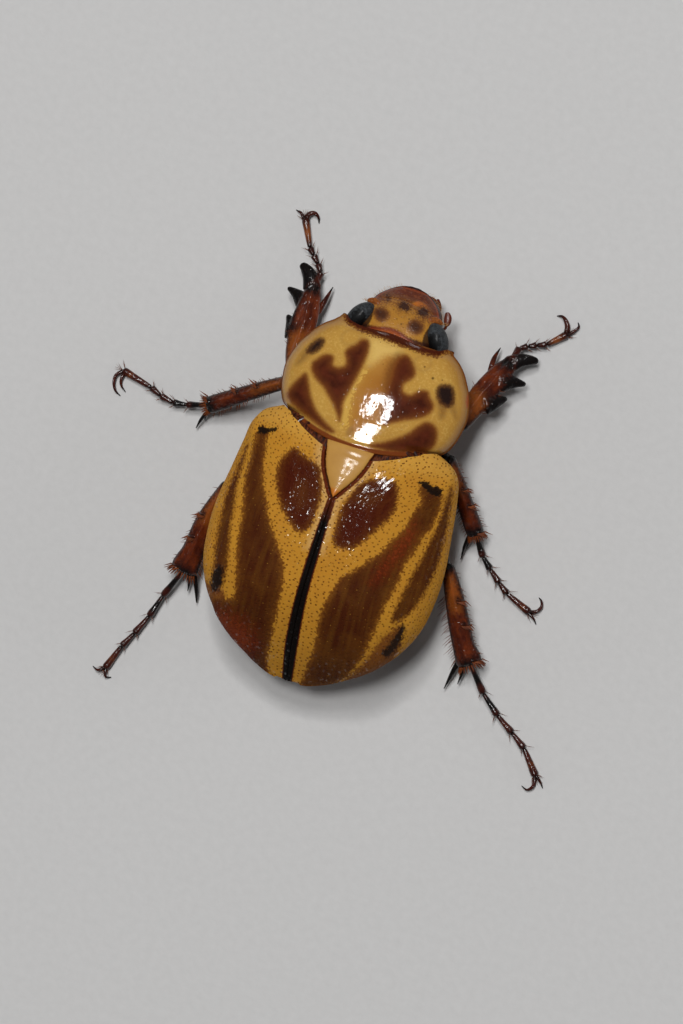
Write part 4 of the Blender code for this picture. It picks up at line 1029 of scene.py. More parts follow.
head_finish, tree, shader = finish(
    "head_cuticle", Roughness=0.5, IOR=1.55, Specular_IOR_Level=0.12, Coat_Weight=0.4,
    Coat_Roughness=0.16, Subsurface_Weight=0.1, Subsurface_Scale=0.2 * MM, Subsurface_Radius=(1.0, 0.5, 0.2),
)
place = in_millimetres(tree)
fine, grain = fine_grain(tree, place, 0.1)
gold, cloud = clouded(tree, place, ("#BA842B", "#966428"), 0.6)
mottle = patches(tree, place, 0.16, 0.45, 0.75, most=0.7)
red = add(tree, "Mix", {0: cloud, 6: linear("#682C18"), 7: linear("#3E180D")}, 2, data_type="RGBA")
red = add(tree, "Mix", {0: mottle, 6: red, 7: linear("#7A3E1E")}, 2, data_type="RGBA")
coloured = inked(
    tree, gold,
    (
        ("clypeus", "#7A4A22", 0.7, 1.0, 0.25, 0.4),
        ("clypeus", "#5E3018", 0.85, 1.2, 0.12, 0.12),
        ("clypeus", red, 0.95, 0.5, 0.14, -0.1),
        ("crescent", "#B4641E", 0.85, 0.2, 0.06, 0.0),
        ("spots", "#68381A", 0.85, 0.25, 0.12, 0.08),
        ("spots", "#40200F", 0.95, 0.2, 0.16, -0.06),
        ("scars", "#5E3216", 0.7, 0.8, 0.22, 0.16),
        ("scars", "#2C130D", 0.9, 0.35, 0.1, 0.0),
        ("dots", "#3A2012", 0.8, 0.05, 0.03, 0.0),
        ("rim", "#8A3C1C", 0.7, 0.1, 0.04, 0.1),
        ("rim", "#240B07", 0.97, 0.1, 0.04, 0.01),
        ("collar", "#3A150B", 0.95, 0.2, 0.08, 0.0),
        ("neck", "#6C2408", 0.97, 0.1, 0.08, -0.01),
        ("neck", "#9C4A10", 0.85, 0.1, 0.1, -0.16),
        ("by_eye", "#2A130B", 0.9, 0.1, 0.04, 0.0),
    ),
    grain,
)
_, height = dented(tree, place, fine, 1.2, 0.19, (0.12, 0.3), 0.9)
dress(tree, shader, coloured, height, 0.02, 0.9, ("Normal", "Coat Normal"))


def tube_faces(rows, sides):
    """The faces of a closed tube of rings, with a face over each end."""
    index = np.arange(rows * sides).reshape(rows, sides)
    wrapped = np.column_stack((index, index[:, 0]))
    return quads(wrapped) + [index[0].tolist(), index[-1][::-1].tolist()]


y = HEAD[0][0] + (HEAD[-1][0] - HEAD[0][0]) * np.sin(np.pi / 2 * np.linspace(0, 1, HEAD_ROWS))[:, None]
angle = 2 * np.pi * np.arange(HEAD_COLUMNS)[None, :] / HEAD_COLUMNS
half, top, under = np.moveaxis(follow(HEAD, y), -1, 0)
across, up = arch(angle, HEAD_ARCH)
middle = (top + under) / 2
capsule = np.stack((half * across, y + 0 * across, middle + (top - middle) * up), axis=-1)
seen = plan(capsule)
edge = half * (1 - np.abs(across)) + np.clip(HEAD[-1][0] - y, 0, 9) * 0.5
on_top = np.clip(up * 4, 0, 1)
ahead = np.clip((y - CLYPEUS_START) / 0.3, 0, 1)
for at, width, height in CLYPEUS_BEADS:
    capsule[..., 2] += on_top * ahead * height * ridge(edge, at, width)
seam = SEAM_PLACE + SEAM_BOW * np.cos(2.2 * seen[..., 0]) - seen[..., 1]
capsule[..., 2] -= on_top * SEAM_DEPTH * ridge(seam, 0, SEAM_WIDTH)
for x, place_y, size, height in HEAD_HUMPS:
    bump = ((seen[..., 0] - x) / size) ** 2 + ((seen[..., 1] - place_y) / size) ** 2
    capsule[..., 2] += on_top * height * np.exp(-bump)
head = new_piece("head_capsule", capsule, tube_faces(HEAD_ROWS, HEAD_COLUMNS), head_finish)
socket_wide, socket_long = EYE_SOCKET
eye_gap = np.hypot((np.abs(capsule[..., 0]) - EYE_CENTRE[0]) / socket_wide, (y - EYE_CENTRE[1]) / socket_long)
from_rim = np.minimum(half * (1 - np.abs(across)), HEAD[-1][0] - y)
for name, values in (
    ("clypeus", np.maximum(inside_by(seen, CLYPEUS), np.where(up < 0.15, 0.3, -1.0))),
    ("crescent", inside_by(seen, CRESCENT)),
    ("spots", np.where(up > 0, inside_any(seen, HEAD_SPOTS), -1.0)),
    ("scars", np.where(up > 0, inside_any(seen, HEAD_SCARS), -1.0)),
    ("dots", np.where(up > 0, in_dots(seen, HEAD_DOTS), -1.0)),
    ("rim", np.where(y > RIM_START, HEAD_RIM - from_rim, -1.0)),
    ("collar", COLLAR - seen[..., 1]),
    ("neck", inside_by(seen, NECK_GLOW)),
    ("by_eye", (1.0 - eye_gap) * 0.7),
):
    paint(head, name, values)
settle(head, "head_chitin", "head")


def measured(rows):
    """Rows of x, y, z and sizes, each with its distance along them put in front."""
    rows = np.array(rows, float)
    steps = np.linalg.norm(np.diff(rows[:, :3], axis=0), axis=1)
    return np.column_stack((np.concatenate(([0], np.cumsum(steps))), rows))


def limb(rows, sides=18, step=0.1, ends=(1.0, 1.0), keel=0.0):
    """Rings of a smooth limb through rows of x, y, z, half width and half thickness. Its ends are
    rounded by these shares of its thickness, and a keel is a ridge along the top, as a share of
    that thickness."""
    table = measured(rows)
    length = table[-1, 0]
    at = length * (1 - np.cos(np.pi * np.linspace(0, 1, max(int(length / step), 9)))) / 2
    found = follow(table, at)
    way = np.gradient(found[:, :3], at, axis=0)
    way /= np.linalg.norm(way, axis=1, keepdims=True)
    side = np.cross(way, (0, 0, 1))
    side /= np.maximum(np.linalg.norm(side, axis=1, keepdims=True), 1e-6)
    rise = np.cross(side, way)
    near, far = ends[0] * table[0, -1], ends[1] * table[-1, -1]
    left = np.minimum(at / max(near, 1e-6), (length - at) / max(far, 1e-6))
    shrink = np.maximum(np.sqrt(1 - (1 - np.clip(left, 0, 1)) ** 2), 0.04)[:, None, None]
    turn = 2 * np.pi * np.arange(sides)[None, :, None] / sides
    wide = side[:, None] * found[:, None, 3:4] * np.cos(turn)
    raised = np.sin(turn) + keel * ridge(turn, np.pi / 2, 0.24)
    thick = rise[:, None] * found[:, None, 4:5] * raised
    return found[:, None, :3] + shrink * (wide + thick)


def joined(parts):
    """Several sets of points and faces as one."""
    points, faces, start = [], [], 0
    for part_points, part_faces in parts:
        part_points = np.asarray(part_points).reshape(-1, 3)
        points.append(part_points)
        faces += [[start + corner for corner in face] for face in part_faces]
        start += len(part_points)
    return np.concatenate(points), faces


def limb_part(rows, **settings):
    """The points and faces of a limb, ready to be joined."""
    rings = limb(rows, **settings)
    return rings.reshape(-1, 3), tube_faces(*rings.shape[:2])


def both_sides(rows):
    """A limb and its mirror image."""
    return [limb_part(np.array(rows) * (side, 1, 1, 1, 1)) for side in (-1, 1)]


def vectors(items, field):
    """One vector of every point of a mesh, as rows of three."""
    found = np.empty(3 * len(items))
    items.foreach_get(field, found)
    return found.reshape(-1, 3)


def fused(parts, voxel, rounds):
    """Parts that cross each other as one smooth skin, with the creases between them filled."""
    lump = new_piece("lump", *joined(parts), None)
    remesh = lump.modifiers.new("remesh", "REMESH")
    remesh.mode = "VOXEL"
    remesh.voxel_size = voxel
    smooth = lump.modifiers.new("smooth", "SMOOTH")
    smooth.iterations = rounds
    mesh = lump.evaluated_get(bpy.context.evaluated_depsgraph_get()).to_mesh()
    points, faces = vectors(mesh.vertices, "co"), [list(face.vertices) for face in mesh.polygons]
    bpy.data.objects.remove(lump)
    return points, faces


# Eyes: hundreds of tiny lenses over a dark pigment, so they look slate grey, with a black
# patch where they are seen end on. Facets are drawn a little larger than the real 0.03 mm.
FACET = 0.05
EYE_ROWS = 60
EYE_SIDES = 80
PATCH_PLACE = (1.95, 7.27)
PATCH_RADIUS = 0.34

eye_finish, tree, shader = finish(
    "faceted_lens", Roughness=0.5, IOR=1.5, Specular_IOR_Level=0.16, Coat_Weight=0.1, Coat_Roughness=0.2,
)
place = in_millimetres(tree)
facets = add(tree, "TexVoronoi", {"Vector": place, "Scale": 1 / FACET, "Randomness": 0.2})
cloud = patches(tree, place, 0.14, 0.35, 0.65)
slate = add(tree, "Mix", {0: cloud, 6: linear("#474B4E"), 7: linear("#222225")}, 2, data_type="RGBA")
lens = add(tree, "MapRange", {"Value": facets, "From Min": 0.6, "From Max": 0.3, "To Min": 0.45})
slate = add(tree, "VectorMath", {0: slate, "Scale": lens}, operation="SCALE")
coloured = inked(tree, slate, (("shade", "#060607", 0.97, 0.1, 0.08, 0.0),), cloud)
dress(tree, shader, coloured, facets, -0.02, 1.0)

turn_share = np.linspace(0, np.pi, EYE_ROWS)[:, None]
round_share = 2 * np.pi * np.arange(EYE_SIDES)[None, :] / EYE_SIDES
ball = np.stack(
    (np.sin(turn_share) * np.cos(round_share), np.cos(turn_share) + 0 * round_share,
     np.sin(turn_share) * np.sin(round_share)),
    axis=-1,
) * EYE_RADII
for side_name, side in (("left", -1), ("right", 1)):
    placed = ball.copy()
    placed[..., 0] = ball[..., 0] * math.cos(EYE_TURN) - ball[..., 1] * math.sin(EYE_TURN)
    placed[..., 1] = ball[..., 1] * math.cos(EYE_TURN) + ball[..., 0] * math.sin(EYE_TURN)
    placed = (placed + EYE_CENTRE) * (side, 1, 1)
    eye = new_piece(f"eye_{side_name}_lens", placed, tube_faces(EYE_ROWS, EYE_SIDES), eye_finish)
    from_patch = (plan(placed) - (side * PATCH_PLACE[0], PATCH_PLACE[1])) * (1.0, 0.75)
    paint(eye, "shade", PATCH_RADIUS - np.linalg.norm(from_patch, axis=-1))
    settle(eye, "eye_facets", f"eye_{side_name}")

# The canthus is the yellow ridge that runs from the clypeus onto each eye.
canthus = new_piece("canthus", *joined(both_sides(CANTHUS)), head_finish)
for name in ("clypeus", "collar", "neck", "by_eye", "crescent", "spots", "scars", "dots"):
    paint(canthus, name, -1.0)
paint(canthus, "rim", -0.02)
settle(canthus, "head_chitin")


# Mouthparts and feelers
# Under the clypeus lie a cleft lip, two jaws and the jointed palps. Each feeler has a stalk of
# small beads and a club of three thin leaves, and here the left one is tucked back.
LABRUM = ((0, 8.9, 2.55, 0.7, 0.25), (0, 9.35, 2.5, 0.75, 0.2), (0, 9.68, 2.48, 0.5, 0.12))
JAW = (
    (0.75, 8.3, 2.2, 0.3, 0.28), (1.1, 8.9, 2.25, 0.3, 0.25), (0.95, 9.35, 2.3, 0.22, 0.16),
    (0.55, 9.5, 2.3, 0.1, 0.1),
)
CHIN = (
    (0, 7.0, 2.1, 0.8, 0.3), (0, 7.7, 1.85, 1.0, 0.32), (0, 8.4, 1.85, 0.8, 0.28),
    (0, 8.9, 2.0, 0.5, 0.2),
)
PALP = (
    ((0.75, 8.2, 1.8, 0.1, 0.1), (0.95, 8.45, 1.68, 0.13, 0.13)),
    ((0.95, 8.45, 1.68, 0.09, 0.09), (1.17, 8.85, 1.58, 0.14, 0.14)),
    ((1.17, 8.85, 1.58, 0.1, 0.1), (1.22, 9.15, 1.5, 0.16, 0.15), (1.02, 9.62, 1.45, 0.07, 0.07)),
)
CHIN_PALP = ((0.35, 8.5, 1.7, 0.07, 0.07), (0.42, 8.85, 1.55, 0.1, 0.1), (0.36, 9.15, 1.5, 0.06, 0.06))
FEELER = (
    ((1.6, 7.9, 2.95), 0.2), ((1.78, 8.02, 2.88), 0.13), ((1.9, 8.1, 2.8), 0.11),
    ((1.98, 8.18, 2.74), 0.1), ((2.02, 8.25, 2.68), 0.1), ((2.03, 8.32, 2.64), 0.11),
    ((2.02, 8.38, 2.6), 0.12),
)
CLUB_LEAF = (
    (0, 0, 0, 0.09, 0.035), (-0.01, 0.2, 0, 0.17, 0.05), (-0.06, 0.45, 0, 0.18, 0.05),
    (-0.16, 0.68, 0, 0.09, 0.035),
)
LEAF_GAP = 0.085
TUCK = math.radians(150)

feeler_finish, tree, shader = finish(
    "red_cuticle", Roughness=0.4, IOR=1.55, Specular_IOR_Level=0.15, Coat_Weight=0.15, Coat_Roughness=0.15,
    Subsurface_Weight=0.05, Subsurface_Scale=0.15 * MM,
)
place = in_millimetres(tree)
red, cloud = clouded(tree, place, ("#6E2A10", "#3C1509"), 0.35)
dress(tree, shader, red, cloud, 0.02, 0.4)

mouth = [limb_part(LABRUM), limb_part(CHIN)]
for side in (-1, 1):
    flip = (side, 1, 1, 1, 1)
    mouth += [limb_part(np.array(rows) * flip) for rows in (JAW, *PALP, CHIN_PALP)]
mouth = new_piece("mouth", *joined(mouth), feeler_finish)
settle(mouth, "feeler_chitin", "mouthparts")

for side_name, side, turned in (("left", -1, -TUCK), ("right", 1, 0.0)):
    hinge = np.array(FEELER[0][0])
    spin = np.array(Matrix.Rotation(turned, 3, "Z"))
    beads = []
    for (start, radius), (end, next_radius) in zip(FEELER, FEELER[1:]):
        beads.append(((*start, 0.7 * radius, 0.7 * radius), (*end, next_radius, next_radius)))
    for k in (-1, 0, 1):
        leaf = np.array(CLUB_LEAF)
        leaf[:, :3] += np.array(FEELER[-1][0]) + (0, 0, LEAF_GAP * k - 0.05)
        beads.append(leaf)
    parts = []
    for bead in beads:
        bead = np.array(bead, float)
        bead[:, :3] = ((bead[:, :3] - hinge) @ spin.T + hinge) * (side, 1, 1)
        parts.append(limb_part(bead, sides=14, step=0.05, ends=(0.8, 0.8)))
    feeler = new_piece(f"feeler_{side_name}", *joined(parts), feeler_finish)
    settle(feeler, "feeler_chitin", f"antenna_{side_name}")


# Underside
# The belly and breast are brown plates that overlap like roof tiles, with the leg roots set in
# hollows between them. Seen only from the side and below, under the rim of the shell.
BELLY = (
    (0.9, 2.0), (0.0, 1.6), (-1.5, 1.35), (-3.0, 1.4), (-5.0, 1.42), (-7.0, 1.5), (-8.5, 1.68),
    (-9.9, 2.1),
)
BREAST = (
    (1.1, 2.4), (2.2, 2.05), (3.6, 1.75), (5.0, 1.8), (6.1, 2.3), (7.0, 2.8),
)
CORE_WAIST = 3.5
CORE_CLEAR = 0.45
CORE_ARCH = 2.2
COXAE = (
    ((0.1, 4.75, 1.95, 0.5, 0.5), (1.0, 4.75, 1.95, 0.55, 0.6), (1.9, 4.75, 2.0, 0.5, 0.5)),
    ((0.15, -0.05, 1.5, 0.45, 0.4), (0.95, -0.02, 1.5, 0.55, 0.5), (1.9, 0.1, 1.5, 0.45, 0.45)),
    ((0.2, -2.9, 1.7, 0.35, 0.45), (2.1, -2.85, 1.75, 0.45, 0.58), (4.2, -2.8, 2.1, 0.3, 0.4)),
)
STERNITES = (-3.3, -4.7, -6.0, -7.25, -8.4, -9.4)
STERNITE_STEP = 0.13
BREAST_RIDGE = ((0, 0.5, 1.6, 0.35, 0.25), (0, -1.2, 1.4, 0.5, 0.2), (0, -2.8, 1.45, 0.4, 0.2))
FORE_BREAST_INSET = 0.14
FORE_BREAST_SIDES = 72
FUSE_VOXEL = 0.08
TAIL_PLATE = (
    (0, -9.7, 3.0, 2.75, 0.3), (0, -10.2, 2.45, 2.35, 0.3), (0, -10.35, 2.0, 1.6, 0.28),
    (0, -10.1, 1.65, 0.7, 0.2),
)
TAIL_PLATE_BOW = 0.09

belly_finish, tree, shader = finish(
    "belly_cuticle", Roughness=0.45, IOR=1.55, Specular_IOR_Level=0.12, Coat_Weight=0.1, Coat_Roughness=0.2,
)
place = in_millimetres(tree)
fine = add(tree, "TexNoise", {"Vector": place, "Scale": 1 / 0.15, "Detail": 3.0})
brown, _ = clouded(tree, place, ("#8E5420", "#4E220E"), 1.1, 4.0)
pit, height = dented(tree, place, fine, 0.8, 0.3, (0.1, 0.3))
brown = add(tree, "Mix", {0: pit, 6: linear("#3A1A0C"), 7: brown}, 2, data_type="RGBA")
dress(tree, shader, brown, height, 0.02, 0.6)


def trunk_rings(places, lowest, inset, sides=64):
    """Rings of the body under the wing cases, down to these lowest heights and set in by this much."""
    half, crest = follow(ELYTRA, places)[:, :2].T
    slope = np.gradient(follow(ELYTRA, places), places, axis=0)
    half = np.maximum(half - inset - (CORE_CLEAR + 0.1) * np.hypot(1, slope[:, 0]), 0.3)[:, None]
    crest = (crest - CORE_CLEAR * np.hypot(1, slope[:, 1]))[:, None]
    across, up = arch(2 * np.pi * np.arange(sides)[None, :] / sides, CORE_ARCH)
    reach = np.where(up > 0, crest - CORE_WAIST, CORE_WAIST - lowest[:, None])
    rings = np.stack((half * across, places[:, None] + 0 * across, CORE_WAIST + reach * up), axis=-1)
    return rings.reshape(-1, 3), tube_faces(len(places), sides)


places = np.linspace(1.4, -3.25, 48)
front_round = 0.5 * np.clip((places - 0.8) / 0.6, 0, 1) ** 2
trunk = trunk_rings(places, follow(BELLY, places)[:, 0] + front_round, front_round)
parts = [trunk, limb_part(BREAST_RIDGE), *both_sides(COXAE[1]), *both_sides(COXAE[2])]
hind_breast = new_piece("hind_breast", *fused(parts, FUSE_VOXEL, 3), belly_finish)

places = np.linspace(STERNITES[0] + 0.1, STERNITES[-1] - 0.35, 130)
steps = np.clip(np.searchsorted(-np.array(STERNITES), -places) - 1, 0, len(STERNITES) - 1)
lengths = np.append(-np.diff(STERNITES), 0.6)[steps]
through = np.clip((np.array(STERNITES)[steps] - places) / lengths, 0, 1)
tile = STERNITE_STEP * np.minimum(through * 3, 1) * np.clip((1 - through) / 0.06, 0, 1)
trunk = trunk_rings(places, follow(BELLY, places)[:, 0] - tile, 0.8 * (STERNITE_STEP - tile))
belly = new_piece("belly", *trunk, belly_finish)

places = np.linspace(1.15, 7.0, 60)
half, margin, crest = np.moveaxis(follow(PRONOTUM, places), -1, 0)
lowest = follow(BREAST, places)[:, 0]
turned = 2 * np.pi * np.arange(FORE_BREAST_SIDES)[None, :] / FORE_BREAST_SIDES
over, up = arch(turned, PRONOTUM_ARCH)
beneath, down = arch(turned, 1.45)
ring_x = np.where(up > 0, over, beneath) * (half - FORE_BREAST_INSET)[:, None]
rise = np.where(up > 0, up * (crest - margin - 0.3)[:, None], down * (margin - lowest)[:, None])
rings = np.stack((ring_x, places[:, None] + 0 * ring_x, (margin - 0.08)[:, None] + rise), axis=-1)
parts = [(rings, tube_faces(*rings.shape[:2])), *both_sides(COXAE[0])]
fore_breast = new_piece("fore_breast", *fused(parts, FUSE_VOXEL, 3), belly_finish)

rings = limb(TAIL_PLATE, sides=48, step=0.05)
rings[..., 1] += TAIL_PLATE_BOW * rings[..., 0] ** 2
tail_plate = new_piece("tail_plate", rings, tube_faces(*rings.shape[:2]), belly_finish)

# The soft ring between shield and wing cases shows as a dark crease with folds.
crease_finish, tree, shader = finish(
    "fold_membrane", Roughness=0.4, IOR=1.5, Specular_IOR_Level=0.1, Coat_Weight=0.2, Coat_Roughness=0.1,
)
folds = drawn_out(tree, in_millimetres(tree), (0.12, 0.5, 0.12))
folds = add(tree, "MapRange", {"Value": folds, "From Min": 0.4, "From Max": 0.7})
brown = add(tree, "Mix", {0: folds, 6: linear("#260C07"), 7: linear("#6A3214")}, 2, data_type="RGBA")
dress(tree, shader, brown, folds, 0.05, 0.8)

CREASE_INSET = 0.4
CREASE_SINK = 0.36
CREASE_THICK = 0.3
FOLD_HEIGHT = 0.05
places = np.linspace(0.5, 2.4, 24)
half, crest, widest = np.moveaxis(follow(ELYTRA, places), -1, 0)
angle = np.linspace(-np.pi / 2, np.pi / 2, 160)[None, :]
across, up = arch(angle, ARCH)
fold = FOLD_HEIGHT * np.sin(26 * across + 3 * np.sin(9 * across)) * np.clip(1.4 - np.abs(across), 0, 1)
z = widest[:, None] + (crest - widest - CREASE_SINK)[:, None] * up + fold
crease = np.stack(((half - CREASE_INSET)[:, None] * across, places[:, None] + 0 * across, z), axis=-1)
crease_skin = shell("crease", crease, crease - np.array((0, 0, CREASE_THICK)), crease_finish)


